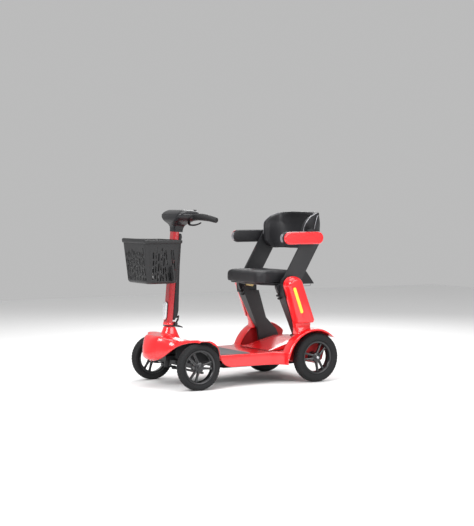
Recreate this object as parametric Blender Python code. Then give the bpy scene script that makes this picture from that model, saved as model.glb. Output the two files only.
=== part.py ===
"""Folding mobility scooter: four wheels, red body, front basket, upright seat with flip-up armrests.

Front is -Y, up is +Z, the rider's left is +X, and the floor is Z = 0. Shapes are drawn in millimetres.
"""
import math

import bmesh
import bpy
from mathutils import Matrix, Vector

MM = 0.001                      # millimetres to metres
GAP = 0.3                       # clearance between pieces that touch

# ---------------------------------------------------------------- driving dimensions (mm)
TRACK_HALF = 250                # wheel centre plane from the middle of the scooter
FRONT_AXLE = (-285, 114)        # Y, Z of the front wheel centres
FRONT_R = 114                   # front tyre radius
FRONT_TYRE_HALF = 23.5
REAR_AXLE = (391, 125)          # Y, Z of the rear wheel centres
REAR_R = 125
REAR_TYRE_HALF = 27
BEAD_R = 84                     # tyre bead radius, front and rear
KINGPIN_X = 205
STEER_ARM = 42                  # length of the steering arms
LEAN = math.radians(-4.8)       # the steering axis leans back at the top
STEM_FOOT = (0, -313, 297)      # where the steering axis passes the folding seam
FOLD_PIVOT = (0, 26, 14)        # tiller folding axis, in the leaning frame
STEM_HALF = 25                  # half width of the red stem
STEM_FRONT = -26                # its front face, in the leaning frame
STEM_TOP = 469                  # length of the stem above the seam
DECK_HALF = 210                 # half width of the deck
DECK_TOP = 158
DECK_BOTTOM = 97
DECK_FRONT = -138
DECK_REAR = 238
LEG_IN = 170                    # inner face of the seat uprights
LEG_OUT = 235                   # outer face of the seat uprights
BACK_PIVOT = (260, 498)         # Y, Z of the backrest hinge
SEAT_PIVOT = (222, 481)         # Y, Z of the seat's cross shaft
ARMREST_PIVOT = (394, 734)      # Y, Z of the armrest hinge
PAD_BOSS = (400, 715)           # Y, Z of the bosses that carry the backrest pad
BOARD_IN = 203.5                # backrest side board, inner face
BOARD_OUT = 218
SEAT_TOP = 565

RED = (0.62, 0.012, 0.016)
BLACK = (0.018, 0.018, 0.02)
GREY = (0.16, 0.165, 0.17)

WORLD = ((0, 0, 0), 0.0)
STEM = (STEM_FOOT, LEAN)
AXES = {}
MATERIALS = {}


# ---------------------------------------------------------------- scene, materials, axes
def clear_scene():
    for obj in list(bpy.data.objects):
        bpy.data.objects.remove(obj, do_unlink=True)


def material(name, colour, roughness, metallic=0.0):
    mat = bpy.data.materials.new(name)
    mat.use_nodes = True
    shader = mat.node_tree.nodes["Principled BSDF"]
    shader.inputs["Base Color"].default_value = (*colour, 1.0)
    shader.inputs["Roughness"].default_value = roughness
    shader.inputs["Metallic"].default_value = metallic
    MATERIALS[name] = mat


def make_materials():
    material("red_gloss", RED, 0.22)
    material("black_plastic", BLACK, 0.5)
    material("black_metal", (0.022, 0.022, 0.025), 0.38, 0.3)
    material("rubber", (0.025, 0.025, 0.027), 0.85)
    material("rim_black", (0.03, 0.03, 0.033), 0.35, 0.2)
    material("mat_grey", (0.2, 0.205, 0.21), 0.9)
    material("steel", (0.55, 0.56, 0.58), 0.3, 1.0)
    material("brass", (0.62, 0.47, 0.22), 0.3, 1.0)
    material("silver_plastic", (0.66, 0.67, 0.68), 0.3, 0.4)
    material("yellow_lens", (0.95, 0.72, 0.12), 0.25)
    material("leather", (0.03, 0.031, 0.034), 0.55)
    material("screen", (0.02, 0.03, 0.035), 0.1)


def add_axis(name, place, frame=WORLD):
    """An empty on a joint axis. Pieces given to it are drawn in the same frame."""
    origin, lean = frame
    turn = Matrix.Rotation(lean, 3, "X")
    empty = bpy.data.objects.new(name, None)
    empty.location = (Vector(origin) + turn @ Vector(place)) * MM
    empty.rotation_euler = (lean, 0, 0)
    bpy.context.scene.collection.objects.link(empty)
    AXES[name] = (empty, Vector(place))


def make_axes():
    add_axis("chassis_origin", (0, 0, 0))
    add_axis("steering_axis", (0, 0, 0), STEM)
    add_axis("fold_axis", FOLD_PIVOT, STEM)
    add_axis("basket_slide", (0, -130, 220), STEM)
    add_axis("latch_axis", (0, 40, 0), STEM)
    for side, name in ((1, "left"), (-1, "right")):
        kingpin = ((side * KINGPIN_X, *FRONT_AXLE), LEAN)
        add_axis("kingpin_" + name, (0, 0, 0), kingpin)
        add_axis("front_wheel_axis_" + name, (side * TRACK_HALF, *FRONT_AXLE))
        add_axis("rear_wheel_axis_" + name, (side * TRACK_HALF, *REAR_AXLE))
        add_axis("finger_lever_axis_" + name, (side * 60, 36, 508), STEM)
        add_axis("armrest_axis_" + name, (side * 250, *ARMREST_PIVOT))
    add_axis("tie_rod_axis", (0, STEER_ARM, -30), ((KINGPIN_X, *FRONT_AXLE), LEAN))
    add_axis("speed_knob_axis", (70, 58, 564), STEM)
    add_axis("horn_axis", (-62, 56, 564), STEM)
    add_axis("seat_axis", (0, *SEAT_PIVOT))
    add_axis("backrest_axis", (0, *BACK_PIVOT))
    add_axis("battery_slide", (0, 320, 160))
    add_axis("bail_axis", (155, 395, 492.5))


# ---------------------------------------------------------------- outlines and mesh helpers
def arc(cx, cy, radius, start, stop, count):
    """Points on a circular arc; angles in degrees."""
    points = []
    for i in range(count + 1):
        a = math.radians(start + (stop - start) * i / count)
        points.append((cx + radius * math.cos(a), cy + radius * math.sin(a)))
    return points


def rounded_rect(x0, x1, y0, y1, radius, steps=3):
    corners = ((x1, y1, 0), (x0, y1, 90), (x0, y0, 180), (x1, y0, 270))
    points = []
    for x, y, start in corners:
        cx = x - radius if x == x1 else x + radius
        cy = y - radius if y == y1 else y + radius
        points += arc(cx, cy, radius, start, start + 90, steps)
    return points


def capsule(a, b, radius, steps=6):
    """A stadium outline round the line from a to b."""
    heading = math.degrees(math.atan2(b[1] - a[1], b[0] - a[0]))
    ends = arc(b[0], b[1], radius, heading - 90, heading + 90, steps)
    return ends + arc(a[0], a[1], radius, heading + 90, heading + 270, steps)


def squared_circle(count, power):
    """Unit outline between a circle (power 2) and a square."""
    points = []
    for i in range(count):
        a = 2 * math.pi * i / count
        c = math.cos(a)
        d = math.sin(a)
        points.append((math.copysign(abs(c) ** (2 / power), c), math.copysign(abs(d) ** (2 / power), d)))
    return points


def lift(point, axis, height):
    """Puts a 2D outline point into space: the axis it is extruded along gets the height."""
    u, v = point
    return {"X": (height, u, v), "Y": (u, height, v), "Z": (u, v, height)}[axis]


def loft(rings, loop=False):
    """Skins rings of equal length. Open ends are capped; a loop joins last to first."""
    bm = bmesh.new()
    rows = [[bm.verts.new(p) for p in ring] for ring in rings]
    pairs = list(zip(rows, rows[1:]))
    if loop:
        pairs.append((rows[-1], rows[0]))
    else:
        bm.faces.new(rows[0])
        bm.faces.new(rows[-1])
    for low, high in pairs:
        for i in range(len(low)):
            j = (i + 1) % len(low)
            bm.faces.new((low[i], low[j], high[j], high[i]))
    bmesh.ops.recalc_face_normals(bm, faces=bm.faces)
    return bm


def prism(outline, axis, low, high):
    return loft([[lift(p, axis, low) for p in outline], [lift(p, axis, high) for p in outline]])


def box(x, y, z):
    return prism([(x[0], y[0]), (x[1], y[0]), (x[1], y[1]), (x[0], y[1])], "Z", z[0], z[1])


def rod(axis, centre, radius, low, high, sides=16):
    """A round bar along an axis; centre is the 2D place of its middle line."""
    return prism(arc(centre[0], centre[1], radius, 0, 360 - 360 / sides, sides - 1), axis, low, high)


def turned(profile, centre, sides):
    """Turns a closed profile of (radius, offset along X) round the X axis."""
    rings = []
    for i in range(sides):
        a = 2 * math.pi * i / sides
        rings.append([(centre[0] + h, centre[1] + r * math.cos(a), centre[2] + r * math.sin(a))
                      for r, h in profile])
    return loft(rings, loop=True)


def swept(points, radii, sides=8, flat=1.0, sideways=None):
    """A round bar along a path, with the radius given at each point; flat squeezes it in height.

    A path in one plane takes that plane's normal as sideways, so that its rings never turn over.
    """
    path = [Vector(p) for p in points]
    rings = []
    for i, here in enumerate(path):
        along = (path[min(i + 1, len(path) - 1)] - path[max(i - 1, 0)]).normalized()
        up_hint = Vector((0, 0, 1)) if abs(along.z) < 0.9 else Vector((0, 1, 0))
        across = sideways or along.cross(up_hint).normalized()
        up = across.cross(along)
        ring = []
        for k in range(sides):
            a = 2 * math.pi * k / sides
            ring.append(here + radii[i] * (across * math.cos(a) + up * math.sin(a) * flat))
        rings.append(ring)
    return loft(rings)


def leaning_rod(foot, radius, low, high, sides=16):
    """A round bar along the steering axis direction, measured from its foot."""
    bm = rod("Z", (0, 0), radius, low, high, sides)
    bmesh.ops.rotate(bm, cent=(0, 0, 0), matrix=Matrix.Rotation(LEAN, 3, "X"), verts=bm.verts)
    bmesh.ops.translate(bm, vec=foot, verts=bm.verts)
    return bm


def place(name, bm, mat, axis):
    """Makes the object: its mesh is measured from its joint axis and it is a child of that axis."""
    empty, home = AXES[axis]
    bmesh.ops.translate(bm, vec=-home, verts=bm.verts)
    bmesh.ops.scale(bm, vec=(MM, MM, MM), verts=bm.verts)
    mesh = bpy.data.meshes.new(name)
    bm.to_mesh(mesh)
    bm.free()
    mesh.shade_smooth()
    mesh.set_sharp_from_angle(angle=math.radians(34))
    mesh.materials.append(MATERIALS[mat])
    obj = bpy.data.objects.new(name, mesh)
    obj.parent = empty
    bpy.context.scene.collection.objects.link(obj)
    return obj


def piece(name, bm, mat, axis="chassis_origin", add=(), cut=(), bevel=0.0, segments=2, angle=40):
    """One sub-part: a main shape, shapes joined to it and shapes cut from it."""
    obj = place(name, bm, mat, axis)
    if bevel:
        rounding = obj.modifiers.new("rounded_edges", "BEVEL")
        rounding.width = bevel * MM
        rounding.segments = segments
        rounding.limit_method = "ANGLE"
        rounding.angle_limit = math.radians(angle)
    for operation, shapes in (("UNION", add), ("DIFFERENCE", cut)):
        for number, shape in enumerate(shapes):
            tool = place(f"{name}_{operation.lower()}_{number}", shape, mat, axis)
            tool.hide_render = True
            tool.display_type = "WIRE"
            boolean = obj.modifiers.new(tool.name, "BOOLEAN")
            boolean.operation = operation
            boolean.solver = "EXACT"
            boolean.object = tool
    return obj


# ---------------------------------------------------------------- wheels
def tyre_profile(radius, half):
    """Closed outline of the tyre section: bead, sidewall, shoulder, tread."""
    side = [(BEAD_R, half * 0.7), (BEAD_R + 8, half * 0.95), (radius - 16, half),
            (radius - 5, half * 0.82), (radius, half * 0.42)]
    return side + [(r, -h) for r, h in reversed(side)]


def rim_profile(half):
    """Closed outline of the rim section: hub, web and barrel."""
    barrel_r = BEAD_R - GAP
    edge = half * 0.74
    return [(8, -24), (24, -24), (24, -6), (71, -6), (73, -edge), (barrel_r, -edge),
            (barrel_r, edge), (73, edge), (71, 8), (24, 8), (24, 20), (8, 20)]


def window_cutters(centre, first_spoke):
    """Three slots between the twin spokes and three wide windows between the pairs."""
    cutters = []
    for k in range(3):
        heading = first_spoke + 120 * k
        turn = math.radians(heading)
        slot = [(34, -8), (66, -12), (66, 12), (34, 8)]
        wide = arc(0, 0, 33, 38, 82, 2) + arc(0, 0, 67, 103, 17, 5)
        for outline in (slot, wide):
            spun = [(centre[1] + u * math.cos(turn) - v * math.sin(turn),
                     centre[2] + u * math.sin(turn) + v * math.cos(turn)) for u, v in outline]
            cutters.append(prism(spun, "X", centre[0] - 30, centre[0] + 30))
    return cutters


def wheel(end, side, name):
    axle, radius, half, first = {
        "front": (FRONT_AXLE, FRONT_R, FRONT_TYRE_HALF, 4),
        "rear": (REAR_AXLE, REAR_R, REAR_TYRE_HALF, 53),
    }[end]
    centre = (side * TRACK_HALF, *axle)
    axis = f"{end}_wheel_axis_{name}"
    profile = [(r, side * h) for r, h in rim_profile(half)]
    piece(f"{end}_tyre_{name}", turned(tyre_profile(radius, half), centre, 24), "rubber", axis)
    piece(f"{end}_rim_{name}", turned(profile, centre, 24), "rim_black", axis,
          cut=window_cutters(centre, first))


# ---------------------------------------------------------------- chassis and running gear
def chassis_frame():
    """Base plate, two rails, the cross members and the neck that carries the steering head."""
    rail_y = (-132, 455)
    piece("chassis_frame", box((-186, 186), (-110, 345), (92, 96)), "black_metal",
          add=(box((-154, -128), rail_y, (93, 112)),
               box((128, 154), rail_y, (93, 112)),
               box((-169.6, -130), (320, 344), (93.5, 111)),
               box((130, 169.6), (320, 344), (93.5, 111)),
               box((-169.6, 169.6), (436, 454), (93.5, 109.5)),
               box((-153, 153), (-133, -113), (94, 150)),
               box((-34, 34), (-352, -114), (128.5, 149.5))),
          cut=(leaning_rod(STEM_FOOT, 15.5, -190, -130, 20),))


def head_tube():
    """The steering head: a tube on the chassis neck that the column turns in."""
    outer = arc(0, 0, 21, 0, 337.5, 15)
    inner = arc(0, 0, 14.4, 0, 337.5, 15)
    rings = [[(x, y, z) for x, y in ring]
             for ring, z in ((outer, -145.8), (outer, -8), (inner, -8), (inner, -145.8))]
    piece("head_tube", loft(rings, loop=True), "black_metal", "steering_axis")


def front_axle_beam():
    """Cross beam with an eye at each end, leaning like the steering axis, for the kingpins."""
    kingpins = [(side * KINGPIN_X, *FRONT_AXLE) for side in (1, -1)]
    eyes = [leaning_rod(foot, 15, -17, 17) for foot in kingpins]
    bores = [leaning_rod(foot, 9, -30, 30) for foot in kingpins]
    piece("front_axle_beam", box((-196, 196), (-297, -273), (102, 127.8)), "black_metal",
          add=eyes, cut=bores, bevel=3, segments=1)


def knuckle(side, name):
    """C-shaped yoke round the beam's eye with kingpin, stub axle and steering arm."""
    section = [(-10, 18.2), (-10, 25.5), (20.4, 25.5), (20.4, -25.5), (-10, -25.5), (-10, -18.2),
               (15.8, -18.2), (15.8, 18.2)]
    yoke = prism([(side * x, z) for x, z in section], "Y", -11, 11)
    piece("knuckle_" + name, yoke, "black_metal", "kingpin_" + name,
          add=(rod("Z", (0, 0), 8.6, -22, 22),
               prism(capsule((0, 3), (0, STEER_ARM), 8, 4), "Z", -24.6, -19.4),
               rod("X", (0, 0), 7.7, *sorted((side * 17, side * 63))),
               rod("Z", (0, STEER_ARM), 3.6, -37, -22, 10)))


def tie_rod():
    """T-shaped link: two eyes for the knuckle arms and one for the column's arm, ahead of them."""
    column_y = -1.2
    middle = -KINGPIN_X
    outline = [(11, STEER_ARM - 8), (11, STEER_ARM + 8), (-2 * KINGPIN_X - 11, STEER_ARM + 8),
               (-2 * KINGPIN_X - 11, STEER_ARM - 8), (middle - 9, STEER_ARM - 8),
               (middle - 9, column_y - 9), (middle + 9, column_y - 9), (middle + 9, STEER_ARM - 8)]
    holes = [rod("Z", centre, 4.2, -50, -10, 12)
             for centre in ((0, STEER_ARM), (-2 * KINGPIN_X, STEER_ARM), (middle, column_y))]
    piece("tie_rod", prism(outline, "Z", -36, -27), "black_metal", "tie_rod_axis", cut=holes)


def steering_column():
    """Turning shaft with its pitman arm below and a seat for the folding base on top."""
    arm = prism(capsule((0, 0), (0, STEER_ARM), 9, 4), "Z", -206, -198)
    piece("steering_column", rod("Z", (0, 0), 14, -206, -2.5), "black_metal", "steering_axis",
          add=(arm, rod("Z", (0, STEER_ARM), 3.6, -217, -202, 10)))


def fold_base():
    """Turret plate on the column with the two lugs and the pin that the tiller folds on."""
    y, z = FOLD_PIVOT[1:]
    piece("fold_base", box((-24, 24), (-25, 36), (-2, 3.2)), "black_metal", "steering_axis",
          add=(prism(capsule((y, 9), (y, z), 8, 4), "X", -20, -11),
               prism(capsule((y, 9), (y, z), 8, 4), "X", 11, 20),
               rod("X", (y, z), 4, -19, 19, 12)))


def motor_and_gearbox():
    y, z = REAR_AXLE
    outline = arc(y, z, 36, 100, 290, 8) + arc(442, 138, 28, -115, 80, 8)
    piece("gearbox", prism(outline, "X", -40, 40), "black_metal", bevel=3, segments=1,
          cut=(rod("X", REAR_AXLE, 9, 20, 60), rod("X", REAR_AXLE, 9, -60, -20)))
    piece("motor", rod("X", (442, 138), 28, -116, -40.4, 20), "black_metal")
    for side, name in ((1, "left"), (-1, "right")):
        low, high = sorted((side * 21, side * 268))
        piece("rear_shaft_" + name, rod("X", REAR_AXLE, 7.7, low, high), "steel",
              "rear_wheel_axis_" + name)


def electrics():
    piece("controller", box((-65, 65), (-60, 80), (96.4, 124)), "black_metal", bevel=3, segments=1)

def battery_pack():
    """The red hump behind the footwell with the cell pack below it; it lifts straight up."""
    profile = [(176, 158.6), (200, 163), (352, 204), (372, 209), (462, 209), (478, 200), (482, 158.6)]
    rings = []
    for x in (-143, -136, 136, 143):
        inset = 0 if abs(x) > 140 else 1
        rings.append([(x, y, z if inset else 158.6 + (z - 158.6) * 0.55) for y, z in profile])
    piece("battery_pack", loft(rings), "red_gloss", "battery_slide",
          add=(box((-117.5, 117.5), (226.5, 341.5), (99, 163)),),
          cut=(box((-121, 121), (349, 474), (150, 177)),))


# ---------------------------------------------------------------- body panels
def deck_shell():
    """Inverted tray: the wide footwell part and the narrower tail between the uprights."""
    tail = 164
    outline = [(-DECK_HALF, DECK_FRONT), (DECK_HALF, DECK_FRONT), (DECK_HALF, DECK_REAR),
               (tail, DECK_REAR), (tail, 484), (-tail, 484), (-tail, DECK_REAR), (-DECK_HALF, DECK_REAR)]
    hollow = [(-DECK_HALF + 4, DECK_FRONT + 4), (DECK_HALF - 4, DECK_FRONT + 4),
              (DECK_HALF - 4, DECK_REAR - 4), (tail - 4, DECK_REAR - 4), (tail - 4, 480),
              (-tail + 4, 480), (-tail + 4, DECK_REAR - 4), (-DECK_HALF + 4, DECK_REAR - 4)]
    corner = prism([(DECK_FRONT - 9, 90), (DECK_FRONT + 34, 90), (DECK_FRONT - 9, 136)], "X", -230, 230)
    piece("deck_shell", prism(outline, "Z", DECK_BOTTOM - 20, DECK_TOP), "red_gloss", bevel=9, segments=3,
          cut=(box((-230, 230), (-200, 520), (60, DECK_BOTTOM)),
               prism(hollow, "Z", 65, DECK_TOP - 4), corner,
               box((-124, 124), (220, 476), (140, 200)),
               box((-36, 36), (-160, -120), (80, 152)),
               rod("X", REAR_AXLE, 12, -200, 200),
               box((-171, 171), (435, 455), (85, 111.5)),
               box((-171, 171), (319, 345), (85, 111.5))))


def floor_mat():
    piece("floor_mat", prism(rounded_rect(-198, 198, -130, 42, 14), "Z", DECK_TOP + GAP, 161.5),
          "mat_grey")


# Fairing stations: X, front lower edge Y Z, crest Y Z, rear lower edge Y Z, front and rear fullness.
FAIRING = (
    (0, -450, 148, -375, 256, -150, 160, 0.60, 0.90, 4.0, 8.0),
    (40, -444, 148, -380, 256, -150, 160, 0.56, 0.85, 4.0, 8.0),
    (75, -426, 151, -384, 253, -146, 150, 0.50, 0.78, 4.0, 6.0),
    (100, -398, 160, -356, 243, -142, 130, 0.55, 0.80, 3.0, 1.4),
    (116, -376, 182, -328, 237, -142, 130, 0.70, 0.90, 2.5, 0.7),
    (140, -352, 205, -304, 233, -142, 130, 0.80, 0.90, 2.5, 0.6),
    (170, -336, 218.5, -303, 237, -142, 130, 0.80, 0.90, 2.5, 0.6),
    (215, -319, 229.5, -299, 242, -142, 130, 0.80, 0.90, 2.5, 0.6),
    (246, -310, 234, -293, 244.5, -166, 184, 0.80, 0.90, 2.5, 0.6),
    (270, -303, 235, -286, 245, -192, 208, 0.80, 0.90, 2.5, 0.6),
    (284, -296, 234, -272, 240, -226, 224, 0.80, 0.90, 2.5, 0.6),
)


def fairing_station(x, yf, zf, yc, zc, yr, zr, front_y, front_z, rear_n, rear_m):
    """Section curve from the tucked lower edge over the crest to the rear lower edge."""
    tuck = max(4.0, 34 * (1 - (x / 105) ** 2))
    curve = [(x, yf + tuck, zf - tuck * 0.62)]
    for i in range(7):
        a = math.radians(90 * i / 6)
        curve.append((x, yc + (yf - yc) * max(0.0, math.cos(a)) ** front_y,
                      zf + (zc - zf) * math.sin(a) ** front_z))
    for i in range(1, 9):
        t = i / 8
        curve.append((x, yc + (yr - yc) * t, zr + (zc - zr) * (1 - t ** rear_n) ** rear_m))
    return curve


def front_fairing():
    """Bonnet and wheel arches in one moulding, with the neck that the stem stands on."""
    half = [fairing_station(*row) for row in FAIRING]
    rows = [[(-x, y, z) for x, y, z in row] for row in reversed(half[1:])] + half
    bm = bmesh.new()
    grid = [[bm.verts.new(p) for p in row] for row in rows]
    for left, right in zip(grid, grid[1:]):
        for i in range(len(left) - 1):
            bm.faces.new((left[i], left[i + 1], right[i + 1], right[i]))
    bmesh.ops.recalc_face_normals(bm, faces=bm.faces)
    if sum(face.normal.z for face in bm.faces) < 0:
        bmesh.ops.reverse_faces(bm, faces=bm.faces)
    obj = place("front_fairing", bm, "red_gloss", "chassis_origin")
    skin = obj.modifiers.new("wall", "SOLIDIFY")
    skin.thickness = 3.5 * MM
    skin.offset = -1.0
    neck = []
    for z, half_x, front, rear in ((230, 46, -392, -258), (246, 38, -374, -265), (270, 31, -351, -276),
                                   (294, 28, -343, -286)):
        slope = 0.084 if z == 294 else 0.0
        middle = (front + rear) / 2
        ring = [(half_x * u, middle + (rear - middle) * v) for u, v in squared_circle(20, 2.5)]
        neck.append([(x, y, z - slope * (y + 313)) for x, y in ring])
    bore = leaning_rod(STEM_FOOT, 22.5, -120, 20, 24)
    for number, (operation, shape) in enumerate((("UNION", loft(neck)), ("DIFFERENCE", bore))):
        tool = place(f"front_fairing_tool_{number}", shape, "red_gloss", "chassis_origin")
        tool.hide_render = True
        tool.display_type = "WIRE"
        boolean = obj.modifiers.new(tool.name, "BOOLEAN")
        boolean.operation = operation
        boolean.solver = "EXACT"
        boolean.object = tool


def fender_radius(degrees):
    """The mudguard's arc opens out towards the deck."""
    t = (degrees - 45) / 138
    return 138 + 17.8 * t + 30.2 * t * t


def rear_fender(side, name):
    """Mudguard arc with an inner wall and the riser that meets the upright's cover."""
    y, z = REAR_AXLE
    outer = []
    inner = []
    for i in range(15):
        degrees = 45 + 138 * i / 14
        a = math.radians(degrees)
        r = fender_radius(degrees)
        outer.append((y + r * math.cos(a), z + r * math.sin(a)))
        inner.append((y + (r - 4) * math.cos(a), z + (r - 4) * math.sin(a)))
    arch = prism(outer + inner[::-1], "X", *sorted((side * 213, side * 285)))
    wall = prism(outer + [(y - 60, 108), (y + 60, 108)], "X", *sorted((side * 213, side * 216.5)))
    riser = loft([
        [(side * x, yy, 232) for x, yy in ((188, 284), (264, 284), (264, 378), (188, 378))],
        [(side * x, yy, 299) for x, yy in ((212.5, 270), (262, 270), (262, 363), (212.5, 352))],
    ])
    hub = rod("X", REAR_AXLE, 26, *sorted((side * 205, side * 225)))
    under = prism(inner + [(y, z)], "X", *sorted((side * 217, side * 300)))
    piece("rear_fender_" + name, arch, "red_gloss", add=(wall, riser), cut=(hub, under))


# ---------------------------------------------------------------- seat uprights
def leg_frame(side, name):
    """Black upright: hinge ear on top, box section in the middle, boot with the axle bore below."""
    boot = [(276, 300), (302, 237), (312, 150), (312, 108), (440, 108), (430, 200), (414, 237),
            (376, 271), (350, 300)]
    upper = loft([[(side * x, y, z) for x, y in ((LEG_IN, front), (outer, front), (outer, rear), (LEG_IN, rear))]
                  for z, outer, front, rear in ((447, LEG_OUT, 212, 306), (300, 211.8, 276, 351),
                                                (238, 187, 301, 412))])
    ear = arc(*BACK_PIVOT, 40, 15, 165, 8) + [(226, 440), (300, 440)]
    inner_lug = [(208, 458), (216, 444), (246, 444), (246, 492), (210, 492), (206, 488)]
    outer_lug = [(200, 455), (214, 444), (246, 444), (246, 492), (194, 492), (188, 486)]
    piece("leg_frame_" + name, upper, "black_metal",
          add=(prism(boot, "X", *sorted((side * LEG_IN, side * 186.5))),
               prism(inner_lug, "X", *sorted((side * LEG_IN, side * 184))),
               prism(outer_lug, "X", *sorted((side * 183, side * 200))),
               prism(ear, "X", *sorted((side * 182, side * 200))),
               rod("X", BACK_PIVOT, 9, *sorted((side * 190, side * 235)))),
          cut=(rod("X", REAR_AXLE, 10, *sorted((side * 150, side * 220))),))


def cover_outline(front, rear, top, bottom):
    """Outline of the upright's cover, drawn in by the given amounts at each side."""
    y, z = BACK_PIVOT
    points = []
    for i in range(13):
        a = math.radians(15.5 + 15 * i)
        reach = 47 - rear if math.cos(a) > 0 else 51 - 0.55 * front
        points.append((y - 2 + reach * math.cos(a), z - 2 + (45 - top) * math.sin(a)))
    return points + [(266 + front, 301 + bottom), (373 - rear, 301 + bottom)]


def leg_cover(side, name):
    """Red outer cover, round about the backrest hinge and rounded over towards its flat face."""
    rings = []
    for x, front, rear, top, bottom in ((235.8, 0, 0, 0, 0), (258, 3, 1, 1, 0), (272, 8, 3, 4, 2),
                                        (280, 15, 7, 10, 5), (284, 26, 14, 19, 11)):
        rings.append([(side * x, y, z) for y, z in cover_outline(front, rear, top, bottom)])
    wedge = loft([[(side * x, y, z) for x, y in ((inner, front), (245, front), (245, rear), (inner, rear))]
                  for z, inner, front, rear in ((301, 212.6, 278, 350), (430, 233, 224, 310))])
    piece("leg_cover_" + name, loft(rings), "red_gloss", add=(wedge,))
    piece("reflector_" + name,
          prism(capsule((244, 478), (286, 363), 8, 5), "X", *sorted((side * 284.2, side * 286))),
          "yellow_lens")


# ---------------------------------------------------------------- tiller
def stem_tube():
    """Red stem: a hollow rounded section with the hinge tongue at its foot."""
    rings = []
    for inset, z in ((0, 4), (0, STEM_TOP), (3, STEM_TOP), (3, 4)):
        outline = rounded_rect(-STEM_HALF + inset, STEM_HALF - inset, STEM_FRONT + inset, 6 - inset,
                               9 - inset, 3)
        rings.append([(x, y, z) for x, y in outline])
    y, z = FOLD_PIVOT[1:]
    tongue = prism([(2, 4.4)] + arc(y, z, 8, -90, 90, 5) + [(2, 22)], "X", -10.4, 10.4)
    piece("stem_tube", loft(rings, loop=True), "red_gloss", "fold_axis",
          add=(tongue,), cut=(rod("X", (y, z), 4.4, -30, 30, 16),))


def stem_cover():
    """Black rear cover of the stem; it deepens towards the foot."""
    profile = [(6.4, 30), (17, 30), (31, 52), (35, 80), (24, 300), (22, 430), (25, 446), (20, 462),
               (6.4, 462)]
    piece("stem_cover", prism(profile, "X", -19.5, 19.5), "black_plastic", "fold_axis",
          bevel=4, segments=2, angle=60)


def headlight():
    outline = capsule((0, 44), (0, 102), 17, 6)
    piece("headlight", prism(outline, "Y", -39, STEM_FRONT - GAP), "silver_plastic", "fold_axis",
          bevel=4, segments=2)


def cable_loop():
    """The wiring loop that leaves the stem cover and enters the folding base."""
    route = ((5, 29, 44), (3, 37, 48), (-1, 47, 52), (-6, 50, 45), (-10, 46, 33), (-12, 42, 22),
             (-12, 40, 10), (-12, 40, 2), (-12, 40, -3))
    points = smooth_route(route, 3)
    piece("cable_loop", swept(points, [2.2] * len(points), 8), "black_plastic", "fold_axis")


def smooth_route(route, steps):
    """Catmull-Rom curve through the route's points."""
    points = [Vector(p) for p in route]
    padded = [2 * points[0] - points[1]] + points + [2 * points[-1] - points[-2]]
    result = []
    for a, b, c, d in zip(padded, padded[1:], padded[2:], padded[3:]):
        for i in range(steps):
            t = i / steps
            result.append(0.5 * (2 * b + (c - a) * t + (2 * a - 5 * b + 4 * c - d) * t * t
                                 + (3 * b - a - 3 * c + d) * t ** 3))
    return result + [points[-1]]


def basket_ring(t, shrink, flange=0.0, lift=0.0):
    """Outline of the basket at a height: 0 is the floor, 1 the rim. The back leans with the stem."""
    half = 117 + 20 * t - shrink + flange
    front = -492 - 19 * t + shrink - flange
    rear = -325.5 + 17.7 * t - shrink
    height = 514 + 211 * t
    ring = []
    for x, y in rounded_rect(-half, half, front, rear, 22 - shrink * 0.5, 3):
        crown = max(0.0, 1 - (x / 95) ** 2) if y < -480 else 0.0
        ring.append((x, y, height + lift + 14 * crown * max(0.0, t - 0.9) * 10))
    return ring


def basket():
    """Tapered open basket with a flanged rim that rises in the middle of its front."""
    rings = [basket_ring(0, 0), basket_ring(0.985, 0), basket_ring(0.985, 0, 5, 0.5), basket_ring(1, 0, 5, 4),
             basket_ring(1, 4, 0, 4), basket_ring(0, 4, 0, 4)]
    for ring in rings[2:4]:
        for i, (x, y, z) in enumerate(ring):
            ring[i] = (x, min(y, -311.5), z)
    bm = loft(rings)
    bmesh.ops.translate(bm, vec=-Vector(STEM_FOOT), verts=bm.verts)
    bmesh.ops.rotate(bm, cent=(0, 0, 0), matrix=Matrix.Rotation(-LEAN, 3, "X"), verts=bm.verts)
    piece("basket", bm, "black_plastic", "basket_slide")


def console_shell():
    """Control head: a funnel round the stem top that opens into a wide flat housing."""
    sections = ((469.4, 27, 27, 24, 9), (496, 28, 29, 27, 10), (510, 48, 40, 42, 18), (524, 78, 48, 56, 24),
                (540, 100, 49, 66, 26), (556, 104, 44, 75, 26), (571, 97, 28, 76, 22), (579, 82, 8, 68, 16))
    rings = []
    for z, half, front, rear, radius in sections:
        rings.append([(x, y, z) for x, y in rounded_rect(-half, half, -front, rear, radius, 3)])
    piece("console_shell", loft(rings), "black_plastic", "fold_axis",
          cut=(rod("X", (52, 548), 9.4, -130, 130, 16),
               rod("Z", (60, 36), 3.3, 500, 530, 12),
               rod("Z", (-60, 36), 3.3, 500, 530, 12),
               rod("Z", (70, 58), 7.4, 564, 600, 16),
               rod("Z", (-62, 56), 6.4, 564, 600, 16),
               box((-40, 40), (10, 54), (576.5, 600))))


def console_panel():
    piece("console_panel", box((-39.5, 39.5), (10.4, 53.6), (576.9, 579.4)), "screen", "fold_axis")


def grip_path(side):
    return ((side * 105, 52, 548), (side * 150, 58, 549), (side * 205, 71, 544), (side * 238, 82, 538),
            (side * 249, 86, 536))


def handlebar():
    """Cross bar through the console; its ends droop back into the grips."""
    points = []
    for side in (-1, 1):
        half = [(side * 104, 52, 548), (side * 150, 58, 549), (side * 205, 71, 544), (side * 234, 80.7, 538.8)]
        points += half[::-1] if side < 0 else half
    piece("handlebar", swept(points, [9] * len(points), 10), "black_metal", "fold_axis")


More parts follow.
